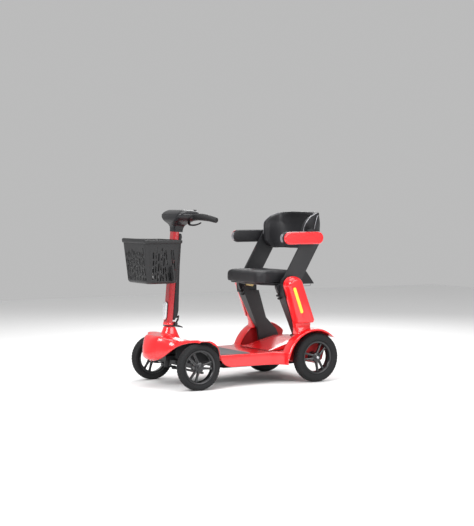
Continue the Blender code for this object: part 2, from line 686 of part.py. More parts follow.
def grip(side, name):
    """Tapered rubber grip over the bar's end."""
    path = grip_path(side)
    bore = swept([(side * 98, 52, 548)] + list(path[:3]) + [(side * 236, 81.4, 538.4)], [9.4] * 5, 10)
    piece("grip_" + name, swept(path, [17.5, 18, 16, 13, 7], 12, 0.95), "rubber", "fold_axis",
          cut=(bore,))


def finger_lever(side, name, node):
    """Wig-wag paddle below the grip; it pivots at the console."""
    outline = [(side * 52, 28), (side * 70, 24), (side * 122, 36), (side * 128, 44), (side * 120, 50),
               (side * 74, 44), (side * 52, 44)]
    piece(node, prism(outline, "Z", 502, 509), "black_plastic", "finger_lever_axis_" + name,
          add=(rod("Z", (side * 60, 36), 3, 505, 526, 12),), bevel=1.5, segments=1)


def small_controls():
    piece("speed_knob", rod("Z", (70, 58), 7, 569, 583, 16), "black_plastic", "speed_knob_axis",
          add=(box((67, 73), (50, 66), (580.5, 584.5)),))
    piece("horn_button", rod("Z", (-62, 56), 6, 569, 581, 16), "yellow_lens", "horn_axis")


def fold_latch():
    """Release lever behind the turret."""
    profile = [(37, -4), (37, 4), (44, 6), (66, -1), (70, -7), (60, -5), (44, -4)]
    piece("fold_latch", prism([(y + 3, z) for y, z in profile], "X", -7.5, 7.5), "black_plastic",
          "latch_axis", bevel=1.5, segments=1)


# ---------------------------------------------------------------- seat and backrest
def seat_pin(side, name):
    """Hinge pin that stands out of the upright's inner face; the right one runs on under the pan."""
    inner = {"left": 150, "right": 96}[name]
    pin = rod("X", SEAT_PIVOT, 8.5, *sorted((side * inner, side * (LEG_IN - GAP))), 20)
    piece("seat_pin_" + name, pin, "brass")


def seat_pan():
    """Tray under the cushion with hinge lugs on the pins and a slanted tail behind."""
    profile = [(118, 498), (200, 490), (352, 490), (358, 494), (438, 494), (435, 501), (392, 558), (364, 560),
               (348, 502.9), (118, 502.9)]
    lugs = [prism(capsule(SEAT_PIVOT, (SEAT_PIVOT[0], 486), 15, 6), "X", *span)
            for span in ((-162, -152), (152, 162))]
    bores = [rod("X", SEAT_PIVOT, 8.8, *span, 20) for span in ((-171, -149), (149, 171))]
    corners = [prism([(side * 118, 100), (side * 180, 100), (side * 180, 168), (side * 163, 160),
                      (side * 147, 131)], "Z", 480, 510) for side in (-1, 1)]
    piece("seat_pan", prism(profile, "X", -163, 163), "black_plastic", "seat_axis",
          add=lugs, cut=bores + corners)


def cushion_ring(z, inset):
    """Plan outline of the seat cushion: wide in front, narrower between the uprights."""
    front = arc(-132 + inset, 139, 44, 180, 270, 4) + arc(132 - inset, 139, 44, 270, 360, 4)
    front = [(x, y + inset) for x, y in front]
    rear = [(164 - inset, 215), (163 - inset, 330 - inset), (150 - inset, 344 - inset),
            (-150 + inset, 344 - inset), (-163 + inset, 330 - inset), (-164 + inset, 215)]
    return [(x, y, z) for x, y in front + rear]


def seat_cushion():
    rings = [cushion_ring(503.5, 12), cushion_ring(512, 3), cushion_ring(530, 0), cushion_ring(550, 1),
             cushion_ring(560, 8), cushion_ring(SEAT_TOP, 26)]
    piece("seat_cushion", loft(rings), "leather", "seat_axis")


def board_outline():
    """Side board: round about the hinge, leaning back 30 degrees, square at the top."""
    slope = math.radians(59.4)
    along = Vector((math.cos(slope), math.sin(slope)))
    across = Vector((math.sin(slope), -math.cos(slope)))
    foot = Vector(BACK_PIVOT)
    top = foot + along * 292
    outline = [tuple(top + across * 46.5), tuple(top + across * 36 + along * 14),
               tuple(top - across * 34 + along * 14), tuple(top - across * 46.5)]
    heading = math.degrees(slope)
    return outline + arc(foot[0], foot[1], 46.5, heading + 90, heading + 270, 10)


def backrest_board(side, name):
    """Side board with the boss that carries the pad and the pin that carries the armrest."""
    piece("backrest_board_" + name, prism(board_outline(), "X", *sorted((side * BOARD_IN, side * BOARD_OUT))),
          "black_metal", "backrest_axis",
          add=(rod("X", PAD_BOSS, 9, *sorted((side * 186, side * 210))),
               rod("X", ARMREST_PIVOT, 9, *sorted((side * 210, side * 250)))),
          cut=(rod("X", BACK_PIVOT, 9.4, *sorted((side * 190, side * 240))),))


# Pad sections: Z, wing front Y, back Y, half width.
PAD_SECTIONS = ((665, 396, 482, 183), (680, 367, 494, 192), (706, 347, 505, 197.5), (757, 343, 512, 200.5),
                (778, 345, 511, 203), (806, 352, 506, 210), (837, 384, 495, 204), (856, 428, 481, 192),
                (866, 448, 469, 176))


def backrest_pad():
    """Pad that wraps forward at both sides like a horseshoe, its wings rounded off above and below."""
    rings = []
    for z, tip, back, half in PAD_SECTIONS:
        outer = []
        inner = []
        for i in range(15):
            a = math.radians(-90 + 180 * i / 14)
            u = math.copysign(abs(math.sin(a)) ** 0.7, a) if i != 7 else 0.0
            v = max(0.0, math.cos(a)) ** 0.7
            outer.append((half * u, tip + (back - tip) * v, z))
            inner.append(((half - 36) * u, tip + 2 + (back - 42 - tip) * v, z))
        rings.append(outer + inner[::-1])
    piece("backrest_pad", loft(rings), "leather", "backrest_axis",
          cut=(rod("X", PAD_BOSS, 9.3, 184, 230, 16), rod("X", PAD_BOSS, 9.3, -230, -184, 16)))


def armrest(side, name):
    """Black padded arm inside and a red stadium cap outside, flipping up together."""
    axis = "armrest_axis_" + name
    pad = capsule((220, 732), (ARMREST_PIVOT[0], 732), 31.5, 7)
    cap = capsule((226, 732), (388, 732), 31, 8)
    piece("armrest_" + name, prism(pad, "X", *sorted((side * 230, side * 262.7))), "leather", axis,
          bevel=5, segments=2, cut=(rod("X", ARMREST_PIVOT, 9.4, *sorted((side * 220, side * 252))),))
    piece("armrest_cap_" + name, prism(cap, "X", *sorted((side * 263, side * 283))), "red_gloss", axis,
          bevel=6, segments=2)


def release_bail():
    """Wire stirrup under the seat's tail."""
    path = ((155, 370, 493.2), (155, 370, 486), (155, 374, 483), (155, 418, 483), (155, 422, 486),
            (155, 422, 493.2))
    wire = swept(path, [1.8] * len(path), 6, sideways=Vector((1, 0, 0)))
    piece("release_bail", wire, "steel", "bail_axis")


# ---------------------------------------------------------------- the whole scooter
def build():
    clear_scene()
    make_materials()
    make_axes()
    chassis_frame()
    head_tube()
    front_axle_beam()
    tie_rod()
    steering_column()
    fold_base()
    motor_and_gearbox()
    electrics()
    battery_pack()
    deck_shell()
    floor_mat()
    front_fairing()
    stem_tube()
    stem_cover()
    headlight()
    cable_loop()
    basket()
    console_shell()
    console_panel()
    handlebar()
    small_controls()
    fold_latch()
    seat_pan()
    seat_cushion()
    backrest_pad()
    release_bail()
    finger_lever(1, "left", "brake_lever")
    finger_lever(-1, "right", "throttle_lever")
    for side, name in ((1, "left"), (-1, "right")):
        wheel("front", side, name)
        wheel("rear", side, name)
        knuckle(side, name)
        rear_fender(side, name)
        leg_frame(side, name)
        leg_cover(side, name)
        seat_pin(side, name)
        backrest_board(side, name)
        grip(side, name)
        armrest(side, name)


build()
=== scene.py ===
"""Looks of the folding mobility scooter: finer shapes, surfaces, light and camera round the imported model."""
import math
import random

import bmesh
import bpy
from mathutils import Matrix, Vector
from mathutils.bvhtree import BVHTree


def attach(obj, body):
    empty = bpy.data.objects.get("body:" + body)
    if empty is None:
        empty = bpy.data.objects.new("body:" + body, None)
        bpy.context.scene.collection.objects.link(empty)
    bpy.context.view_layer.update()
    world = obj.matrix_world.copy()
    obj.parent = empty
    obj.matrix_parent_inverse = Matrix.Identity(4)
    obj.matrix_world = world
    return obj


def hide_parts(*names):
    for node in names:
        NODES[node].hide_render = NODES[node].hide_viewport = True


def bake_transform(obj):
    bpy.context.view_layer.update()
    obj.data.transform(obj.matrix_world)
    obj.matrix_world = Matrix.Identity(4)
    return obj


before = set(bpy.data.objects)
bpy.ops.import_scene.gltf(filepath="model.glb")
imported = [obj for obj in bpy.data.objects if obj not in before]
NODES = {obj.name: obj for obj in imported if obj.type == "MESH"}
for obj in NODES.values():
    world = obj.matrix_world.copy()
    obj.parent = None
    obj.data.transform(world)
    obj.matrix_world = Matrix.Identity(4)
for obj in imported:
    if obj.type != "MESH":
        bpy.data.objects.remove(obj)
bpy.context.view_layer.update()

# Lengths are millimetres. Front is -Y, the rider's left is +X, and pairs are (Y, Z).
MM = 0.001
LEAN = math.radians(-4.8)
STEM_FOOT = Vector((0, -313, 297))
TRACK_HALF = 250
FRONT_AXLE = (-285, 114)
REAR_AXLE = (391, 125)
BACK_PIVOT = (260, 498)
ARMREST_REAR = (394, 732)
ARMREST_TIP = (220, 732)
HUMP_BASE = 158.7
FENDER_START, FENDER_SWEEP = 45, 138
BASKET_FOOT, BASKET_HEIGHT = 514, 211
CUSHION_BASE, CUSHION_FRONT = 503.2, 88
FOAM_VOXEL, FOAM_SWELL = 5, 3.5
CAMERA_PLACE = (6.2886, -3.5522, 0.9318)
CAMERA_AIM = (-0.86536, 0.49910, -0.04548)
CAMERA_LENS, CAMERA_SENSOR = 97.3, 36
SIDES = ((1, "left"), (-1, "right"))
RED = (0.76, 0.012, 0.016)
BLACK = (0.014, 0.014, 0.016)


# ---------------------------------------------------------------- outlines and meshes (millimetres)
def arc(cx, cy, radius, start, stop, count):
    """Points along an arc; angles in degrees."""
    points = []
    for i in range(count + 1):
        a = math.radians(start + (stop - start) * i / count)
        points.append((cx + radius * math.cos(a), cy + radius * math.sin(a)))
    return points


def rounded_rect(x0, x1, y0, y1, radius, steps=5):
    points = []
    for x, y, start in ((x1, y1, 0), (x0, y1, 90), (x0, y0, 180), (x1, y0, 270)):
        cx = x - radius if x == x1 else x + radius
        cy = y - radius if y == y1 else y + radius
        points += arc(cx, cy, radius, start, start + 90, steps)
    return points


def capsule(a, b, radius, steps=16):
    """Slot with round ends, centred on two points."""
    heading = math.degrees(math.atan2(b[1] - a[1], b[0] - a[0]))
    ends = arc(b[0], b[1], radius, heading - 90, heading + 90, steps)
    return ends + arc(a[0], a[1], radius, heading + 90, heading + 270, steps)


def lift(point, axis, height):
    """Puts a flat point into space, at a height along an axis."""
    u, v = point
    return {"X": (height, u, v), "Y": (u, height, v), "Z": (u, v, height)}[axis]


def loft(rings, loop=False):
    """Skin through rings of equal length, capped at the ends or joined end to start."""
    bm = bmesh.new()
    rows = [[bm.verts.new(p) for p in ring] for ring in rings]
    pairs = list(zip(rows, rows[1:]))
    if loop:
        pairs.append((rows[-1], rows[0]))
    else:
        bm.faces.new(rows[0])
        bm.faces.new(rows[-1])
    for low, high in pairs:
        for i in range(len(low)):
            j = (i + 1) % len(low)
            bm.faces.new((low[i], low[j], high[j], high[i]))
    bmesh.ops.recalc_face_normals(bm, faces=bm.faces)
    return bm


def prism(outline, axis, low, high):
    """Outline pushed out along an axis."""
    low, high = sorted((low, high))
    return loft([[lift(p, axis, low) for p in outline], [lift(p, axis, high) for p in outline]])


def merged(*parts):
    """Puts several shapes into one mesh."""
    bm = bmesh.new()
    for part in parts:
        mesh = bpy.data.meshes.new("part")
        part.to_mesh(mesh)
        part.free()
        bm.from_mesh(mesh)
        bpy.data.meshes.remove(mesh)
    return bm


def turned(profile, centre, sides):
    """Turns (radius, offset along X) points round the X axis; a radius may be a function of the step."""
    rings = []
    for i in range(sides):
        a = 2 * math.pi * i / sides
        rings.append([(centre[0] + h, centre[1] + r * math.cos(a), centre[2] + r * math.sin(a))
                      for r, h in (profile(i) if callable(profile) else profile)])
    return loft(rings, loop=True)


def curve_point(a, b, c, d, t):
    """Point at t between b and c, on a smooth curve through all four."""
    return 0.5 * (2 * b + (c - a) * t + (2 * a - 5 * b + 4 * c - d) * t * t + (3 * b - a - 3 * c + d) * t ** 3)


def smooth_route(route, steps):
    """Smooth curve through a route's points, with that many steps between each two."""
    points = [Vector(p) for p in route]
    ends = [2 * points[0] - points[1]] + points + [2 * points[-1] - points[-2]]
    result = []
    for a, b, c, d in zip(ends, ends[1:], ends[2:], ends[3:]):
        for i in range(steps):
            result.append(curve_point(a, b, c, d, i / steps))
    return result + [points[-1]]


def swept(points, radii, sides=16, flat=1.0, loop=False):
    """Round bar along a path, with a radius at each point; flat squeezes its height."""
    path = [Vector(p) for p in points]
    count = len(path)
    rings = []
    for i, here in enumerate(path):
        after = path[(i + 1) % count] if loop else path[min(i + 1, count - 1)]
        before = path[i - 1] if loop else path[max(i - 1, 0)]
        along = (after - before).normalized()
        reference = Vector((0, 0, 1)) if abs(along.z) < 0.9 else Vector((0, 1, 0))
        across = along.cross(reference).normalized()
        up = across.cross(along)
        ring = []
        for k in range(sides):
            a = 2 * math.pi * k / sides
            ring.append(here + radii[i] * (across * math.cos(a) + up * math.sin(a) * flat))
        rings.append(ring)
    return loft(rings, loop)


def leaned(bm):
    """From the tiller's leaning frame to the scooter's."""
    bmesh.ops.rotate(bm, cent=(0, 0, 0), matrix=Matrix.Rotation(LEAN, 3, "X"), verts=bm.verts)
    bmesh.ops.translate(bm, vec=STEM_FOOT, verts=bm.verts)
    return bm


def crease(mesh, angle):
    """Smooth shading, with sharp edges above an angle in degrees."""
    mesh.shade_smooth()
    mesh.set_sharp_from_angle(angle=math.radians(angle))


def round_edges(obj, width, segments, angle=40):
    rounding = obj.modifiers.new("rounded_edges", "BEVEL")
    rounding.width = width * MM
    rounding.segments = segments
    rounding.limit_method = "ANGLE"
    rounding.angle_limit = math.radians(angle)


def relax(obj, times):
    smoothing = obj.modifiers.new("relax", "SMOOTH")
    smoothing.factor = 0.5
    smoothing.iterations = times


def make(name, bm, mat, angle=35):
    """Object in metres from a shape in millimetres."""
    bmesh.ops.scale(bm, vec=(MM, MM, MM), verts=bm.verts)
    mesh = bpy.data.meshes.new(name)
    bm.to_mesh(mesh)
    bm.free()
    crease(mesh, angle)
    mesh.materials.append(mat)
    obj = bpy.data.objects.new(name, mesh)
    bpy.context.scene.collection.objects.link(obj)
    return obj


def show(name, bm, mat, body, nodes=(), bevel=0.0, segments=3, angle=35):
    """One visible piece: mesh, rounding, the body it rides on and the CAD nodes it stands for."""
    obj = make(name, bm, mat, angle)
    if bevel:
        round_edges(obj, bevel, segments)
    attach(obj, body)
    if nodes:
        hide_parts(*nodes)
    return obj


def bake(obj):
    """Applies the modifiers."""
    graph = bpy.context.evaluated_depsgraph_get()
    mesh = bpy.data.meshes.new_from_object(obj.evaluated_get(graph))
    obj.modifiers.clear()
    obj.data = mesh


def carve(obj, tools):
    """Cuts shapes out of an object."""
    for tool in tools:
        helper = make("tool", tool, obj.data.materials[0])
        boolean = obj.modifiers.new("cut", "BOOLEAN")
        boolean.operation = "DIFFERENCE"
        boolean.solver = "EXACT"
        boolean.object = helper
        bake(obj)
        bpy.data.objects.remove(helper)


# ---------------------------------------------------------------- materials
def surface(name, colour, rough, metal=0.0, coat=0.0, grain=(900.0, 0.1), wear=0.12, tint=0.12,
            pattern="noise", stretch=(1, 1, 1)):
    """Moulded, painted or sewn surface: fine grain in the normal, slow changes in colour and gloss.

    grain is the fine pattern's scale and strength; wear and tint are how far gloss and colour drift."""
    mat = bpy.data.materials.new(name)
    mat.use_nodes = True
    tree = mat.node_tree
    shader = tree.nodes["Principled BSDF"]
    shader.inputs["Metallic"].default_value = metal
    shader.inputs["Coat Weight"].default_value = coat
    shader.inputs["Coat Roughness"].default_value = 0.06
    shader.inputs["Specular IOR Level"].default_value = 0.5 if coat > 0.3 or metal else 0.28
    place = tree.nodes.new("ShaderNodeTexCoord")
    scale = tree.nodes.new("ShaderNodeMapping")
    scale.inputs["Scale"].default_value = stretch
    tree.links.new(place.outputs["Object"], scale.inputs["Vector"])

    slow = tree.nodes.new("ShaderNodeTexNoise")
    slow.inputs["Scale"].default_value = 9.0
    slow.inputs["Detail"].default_value = 5.0
    tree.links.new(place.outputs["Object"], slow.inputs["Vector"])
    mix = tree.nodes.new("ShaderNodeMix")
    mix.data_type = "RGBA"
    dark = [c * (1 - tint) for c in colour]
    light = [min(1.0, c * (1 + tint)) for c in colour]
    mix.inputs["A"].default_value = (*dark, 1)
    mix.inputs["B"].default_value = (*light, 1)
    tree.links.new(slow.outputs["Fac"], mix.inputs["Factor"])
    tree.links.new(mix.outputs["Result"], shader.inputs["Base Color"])
    gloss = tree.nodes.new("ShaderNodeMapRange")
    gloss.inputs["To Min"].default_value = rough * (1 - wear)
    gloss.inputs["To Max"].default_value = rough * (1 + wear)
    tree.links.new(slow.outputs["Fac"], gloss.inputs["Value"])
    tree.links.new(gloss.outputs["Result"], shader.inputs["Roughness"])

    if pattern == "leather":
        fine = tree.nodes.new("ShaderNodeTexVoronoi")
        fine.feature = "SMOOTH_F1"
        height = fine.outputs["Distance"]
    elif pattern == "ribs":
        fine = tree.nodes.new("ShaderNodeTexWave")
        fine.bands_direction = "X"
        height = fine.outputs["Fac"]
    else:
        fine = tree.nodes.new("ShaderNodeTexNoise")
        fine.inputs["Detail"].default_value = 3.0
        height = fine.outputs["Fac"]
    fine.inputs["Scale"].default_value = grain[0]
    tree.links.new(scale.outputs["Vector"], fine.inputs["Vector"])
    bump = tree.nodes.new("ShaderNodeBump")
    bump.inputs["Strength"].default_value = grain[1]
    bump.inputs["Distance"].default_value = 0.0006
    tree.links.new(height, bump.inputs["Height"])
    tree.links.new(bump.outputs["Normal"], shader.inputs["Normal"])
    return mat


M = {
    "red": surface("red_paint", RED, 0.2, coat=0.6, grain=(260, 0.03), wear=0.25, tint=0.05),
    # Darker copy of the red paint for the stem tube: painted shade, for the stem that stands turned away from
    # the light.
    "shaded_stem_red": surface("stem_red_painted_shade", (0.4, 0.012, 0.018), 0.18, coat=0.6, grain=(260, 0.03), wear=0.25,
                        tint=0.08),
    "wire": surface("bent_wire", (0.3, 0.3, 0.31), 0.3, 1.0, grain=(900, 0.1)),
    # Dark red: the seam line across the chin, and painted shade on the mudguards' inner walls.
    "seam_and_shade_red": surface("red_seam_and_painted_shade", (0.32, 0.006, 0.008), 0.5, grain=(500, 0.15)),
    "plastic": surface("moulded_black", BLACK, 0.48, grain=(1400, 0.35), tint=0.2),
    "satin": surface("satin_black", (0.012, 0.012, 0.014), 0.32, coat=0.15, grain=(1100, 0.12),
                     tint=0.2),
    "basket": surface("basket_black", (0.02, 0.02, 0.021), 0.45, grain=(1100, 0.25), tint=0.2),
    "metal": surface("powder_coat", (0.017, 0.017, 0.019), 0.42, 0.2, grain=(1800, 0.3), tint=0.2),
    "alloy": surface("coated_alloy", (0.02, 0.02, 0.022), 0.3, 0.35, coat=0.35, grain=(900, 0.08)),
    "tyre": surface("tyre_rubber", (0.012, 0.012, 0.013), 0.8, grain=(700, 0.5), tint=0.25),
    "grip": surface("grip_rubber", (0.013, 0.013, 0.014), 0.6, grain=(1500, 0.4)),
    "mat": surface("ribbed_mat", (0.15, 0.152, 0.158), 0.8, grain=(38, 0.9), pattern="ribs"),
    "steel": surface("turned_steel", (0.55, 0.56, 0.58), 0.28, 1.0, grain=(300, 0.1), stretch=(8, 1, 1)),
    "brass": surface("passivated", (0.6, 0.44, 0.2), 0.3, 1.0, grain=(500, 0.15)),
    "silver": surface("silver_cap", (0.62, 0.63, 0.65), 0.25, 0.3, coat=0.3, grain=(600, 0.05)),
    "yellow": surface("reflector_yellow", (0.95, 0.68, 0.05), 0.2, coat=0.7, grain=(420, 0.9),
                      pattern="leather"),
    "leather": surface("upholstery", (0.014, 0.014, 0.016), 0.5, grain=(420, 0.5), tint=0.25,
                       pattern="leather"),
    "thread": surface("thread", (0.03, 0.03, 0.033), 0.7, grain=(2500, 0.8)),
    # Grey metal: the zips on the backrest, and painted highlights on the wings' front edges and the armrest
    # ends.
    "zip_and_highlight_grey": surface("zip_metal_and_painted_highlight", (0.3, 0.3, 0.32), 0.4, 0.5, grain=(800, 0.2)),
    "screen": surface("screen_glass", (0.012, 0.02, 0.024), 0.08, coat=0.6, grain=(60, 0.01)),
}

CARRIED = {
    "metal": ("chassis_frame", "head_tube", "front_axle_beam", "knuckle_left", "knuckle_right", "tie_rod",
              "steering_column", "fold_base", "leg_frame_left", "leg_frame_right", "controller", "gearbox",
              "motor", "backrest_board_left", "backrest_board_right", "handlebar"),
    "steel": ("rear_shaft_left", "rear_shaft_right"),
    "wire": ("release_bail",),
    "brass": ("seat_pin_left", "seat_pin_right"),
    "plastic": ("fold_latch", "stem_cover"),
    "satin": ("speed_knob",),
    "yellow": ("horn_button", "reflector_left", "reflector_right"),
    "screen": ("console_panel",),
    # The stem tube gets the darker copy of the red: painted shade.
    "shaded_stem_red": ("stem_tube",),
}


def paint_carried():
    """Materials for the CAD parts that are shown as they are."""
    for key, names in CARRIED.items():
        for name in names:
            mesh = NODES[name].data
            mesh.materials.clear()
            mesh.materials.append(M[key])


# ---------------------------------------------------------------- wheels
def tyre_section(radius, half, groove):
    """Section from bead to crown and back, as (radius, offset); the shoulder drops at a groove."""
    drop = 2.2 if groove else 0.0
    side = [(84, half * 0.66), (87, half * 0.84), (91, half * 0.93), (97, half * 0.99), (radius - 15, half),
            (radius - 10.5, half * 0.985), (radius - 9.5, half * 0.93 - drop * 0.3),
            (radius - 5 - drop, half * 0.82), (radius - 1.8 - drop, half * 0.62),
            (radius - 0.6 - drop, half * 0.45), (radius - 0.4, half * 0.36), (radius - 2.6, half * 0.31),
            (radius - 2.6, half * 0.25), (radius, half * 0.2)]
    return side + [(r, -h) for r, h in reversed(side)]


def tyre(end, side, name):
    """Tyre with a groove at every fourth step of its shoulder."""
    axle, radius, half, blocks = {"front": (FRONT_AXLE, 114, 23.5, 46), "rear": (REAR_AXLE, 125, 27, 50)}[end]
    centre = (side * TRACK_HALF, *axle)
    bm = turned(lambda i: tyre_section(radius, half, i % 4 == 3), centre, blocks * 4)
    show(f"{end}_tyre_look_{name}", bm, M["tyre"], f"{end}_wheel_{name}", [f"{end}_tyre_{name}"],
         angle=28)


def spoke(centre, side, heading, offset):
    """Tapered bar from the hub to the barrel, dished outwards."""
    turn = math.radians(heading)
    rings = []
    stations = ((16, 7.5, 7.5, -8, 13), (30, 9.5, 5.6, -6, 12), (48, 12.5, 5.0, -5, 9.5),
                (64, 15.5, 5.8, -6, 8), (74, 17.5, 8.0, -9, 8))
    for r, spread, width, low, high in stations:
        ring = []
        middle = offset * spread
        for u, h in rounded_rect(-width, width, low, high, 3.6, 2):
            v = middle + u
            ring.append((centre[0] + side * h, centre[1] + r * math.cos(turn) - v * math.sin(turn),
                         centre[2] + r * math.sin(turn) + v * math.cos(turn)))
        rings.append(ring)
    return loft(rings)


def rim(end, side, name):
    """Barrel, hub and three pairs of spokes in one casting, with a nut or cap on the axle."""
    axle, half, first = {"front": (FRONT_AXLE, 23.5, 4), "rear": (REAR_AXLE, 27, 53)}[end]
    centre = (side * TRACK_HALF, *axle)
    edge = half * 0.72
    barrel = [(71.5, -edge + 3), (73, edge - 5), (75.5, edge - 1.2), (79, edge + 0.6), (82.6, edge + 0.3),
              (83.6, edge - 2), (83.6, -edge + 2), (82.6, -edge), (76, -edge)]
    hub = [(8, -23), (19, -23), (23, -20), (24, -8), (24, 10), (22, 13.5), (15, 15), (14, 19), (11, 20.5),
           (8, 20.5)]
    parts = [turned([(r, side * h) for r, h in profile], centre, 72) for profile in (barrel, hub)]
    for k in range(3):
        for offset in (-1, 1):
            parts.append(spoke(centre, side, first + 120 * k, offset))
    show(f"{end}_rim_look_{name}", merged(*parts), M["alloy"], f"{end}_wheel_{name}",
         [f"{end}_rim_{name}"], angle=38)
    cap = [(0.6, side * 18), (7.8, side * 18), (7.8, side * 23), (6.6, side * 24.5), (0.6, side * 24.5)]
    nut = turned(cap, centre, 6 if end == "rear" else 20)
    look, slot = ("steel", "steel") if end == "rear" else ("alloy", "black_alloy")
    show(f"{end}_axle_nut_{name}", nut, M[look], f"{end}_wheel_{name}")


# ---------------------------------------------------------------- front fairing
# Sections side by side: distance from the middle, then (Y, Z) of the front lip, the crown and the rear lip,
# and the powers that shape the front quarter (Y, Z) and the run to the rear (n, m).
FAIRING = (
    (0, -450, 148, -375, 256, -150, 160, 0.60, 0.90, 4.0, 8.0),
    (40, -444, 148, -380, 256, -150, 160, 0.56, 0.85, 4.0, 8.0),
    (75, -426, 151, -384, 253, -146, 150, 0.50, 0.78, 4.0, 6.0),
    (100, -398, 160, -356, 243, -142, 130, 0.55, 0.80, 3.0, 1.4),
    (116, -376, 182, -328, 237, -142, 130, 0.70, 0.90, 2.5, 0.7),
    (140, -352, 205, -304, 233, -142, 130, 0.80, 0.90, 2.5, 0.6),
    (170, -336, 218.5, -303, 237, -142, 130, 0.80, 0.90, 2.5, 0.6),
    (215, -319, 229.5, -299, 242, -142, 130, 0.80, 0.90, 2.5, 0.6),
    (246, -310, 234, -293, 244.5, -166, 184, 0.80, 0.90, 2.5, 0.6),
    (270, -303, 235, -286, 245, -192, 208, 0.80, 0.90, 2.5, 0.6),
    (284, -296, 234, -272, 240, -226, 224, 0.80, 0.90, 2.5, 0.6),
)
# Levels of the neck: height, half width, front and rear.
NECK = ((230, 46, -392, -258), (246, 38, -374, -265), (270, 31, -351, -276), (294, 27.8, -342.5, -286.5))


def smooth_between(values, t):
    """Curve through the middle two of four values, kept close to their span."""
    _, b, c, _ = values
    return min(max(b, c) + 3, max(min(b, c) - 3, curve_point(*values, t)))


def between_rows(rows, place):
    """A table's numbers at any place, smoothly between its rows; the first and last rows only guide."""
    for i in range(1, len(rows) - 2):
        if rows[i][0] <= place <= rows[i + 1][0]:
            t = (place - rows[i][0]) / (rows[i + 1][0] - rows[i][0])
            return [smooth_between([rows[j][k] for j in (i - 1, i, i + 1, i + 2)], t)
                    for k in range(1, len(rows[0]))]
    return rows[-1][1:]


def station_at(x):
    """Fairing section at a distance from the middle."""
    return between_rows([(-FAIRING[1][0], *FAIRING[1][1:]), *FAIRING, FAIRING[-1]], x)


def neck_height(x, y):
    """Height of the neck at a place, or None outside its foot."""
    levels = []
    for z, half, front, rear in NECK:
        middle = (front + rear) / 2
        levels.append((abs(x) / half) ** 2.5 + (abs(y - middle) / (rear - middle)) ** 2.5)
    if levels[0] >= 1:
        return None
    for k in range(3):
        if levels[k + 1] >= 1:
            t = (1 - levels[k]) / (levels[k + 1] - levels[k])
            return NECK[k][0] + t * (NECK[k + 1][0] - NECK[k][0])
    return 294 - 0.084 * (y + 313)


def smooth_max(a, b, width):
    """The larger value, with a soft change from one to the other."""
    h = max(0.0, min(1.0, 0.5 + 0.5 * (a - b) / width))
    return b + (a - b) * h + width * h * (1 - h)


def fairing_curve(x):
    """One section of the fairing, from the tucked lip over the crown to the rear, with the neck on it."""
    yf, zf, yc, zc, yr, zr, front_y, front_z, rear_n, rear_m = station_at(abs(x))
    tuck = max(4.0, 34 * (1 - (abs(x) / 105) ** 2))
    curve = [(yf + tuck * (1 - t), zf - tuck * 0.62 * (1 - t) ** 0.7) for t in (0, 0.3, 0.6, 0.85)]
    for i in range(25):
        a = math.radians(90 * i / 24)
        curve.append((yc + (yf - yc) * max(0.0, math.cos(a)) ** front_y,
                      zf + (zc - zf) * math.sin(a) ** front_z))
    for i in range(1, 57):
        t = i / 56
        curve.append((yc + (yr - yc) * t, zr + (zc - zr) * (1 - t ** rear_n) ** rear_m))
    points = []
    for y, z in curve:
        neck = neck_height(x, y)
        points.append((x, y, z if neck is None else smooth_max(z, neck, 7)))
    return points


def front_fairing():
    """Painted skin with a black lining, two inner arch panels and a seam across the chin."""
    half = [3.0 * i for i in range(20)] + [60 + 5.6 * i for i in range(41)]
    columns = [-x for x in reversed(half[1:])] + half
    bm = bmesh.new()
    grid = [[bm.verts.new(p) for p in fairing_curve(x)] for x in columns]
    for left, right in zip(grid, grid[1:]):
        for i in range(len(left) - 1):
            bm.faces.new((left[i], right[i], right[i + 1], left[i + 1]))
    bmesh.ops.recalc_face_normals(bm, faces=bm.faces)
    if sum(face.normal.z for face in bm.faces) < 0:
        bmesh.ops.reverse_faces(bm, faces=bm.faces)
    obj = show("fairing_look", bm, M["red"], "chassis", ["front_fairing"], angle=60)
    relax(obj, 4)
    skin = obj.modifiers.new("wall", "SOLIDIFY")
    skin.thickness = 3.2 * MM
    skin.offset = -1.0
    skin.material_offset = 1
    obj.data.materials.append(M["plastic"])
    round_edges(obj, 1.2, 2, 60)
    seam = [(x, y - 0.4, z) for x, y, z in chin_line()]
    for side, name in SIDES:
        panel = [(-338, 150), (-338, 194), (-322, 212), (-290, 220), (-250, 213), (-205, 188), (-172, 160),
                 (-152, 138), (-152, 122), (-300, 122)]
        show(f"arch_panel_{name}", prism(panel, "X", side * 112, side * 115), M["plastic"], "chassis",
             bevel=1)
    show("chin_seam", swept(seam, [0.7] * len(seam), 6), M["seam_and_shade_red"], "chassis")


def chin_line():
    """Panel line across the nose, a little above its lower edge."""
    line = []
    for i in range(41):
        x = -92 + 184 * i / 40
        curve = fairing_curve(x)[4:28]
        target = 171 + 10 * (abs(x) / 92) ** 3
        best = min(curve, key=lambda p: abs(p[2] - target))
        line.append((x, best[1], target))
    return smooth_route(line[::4], 6)


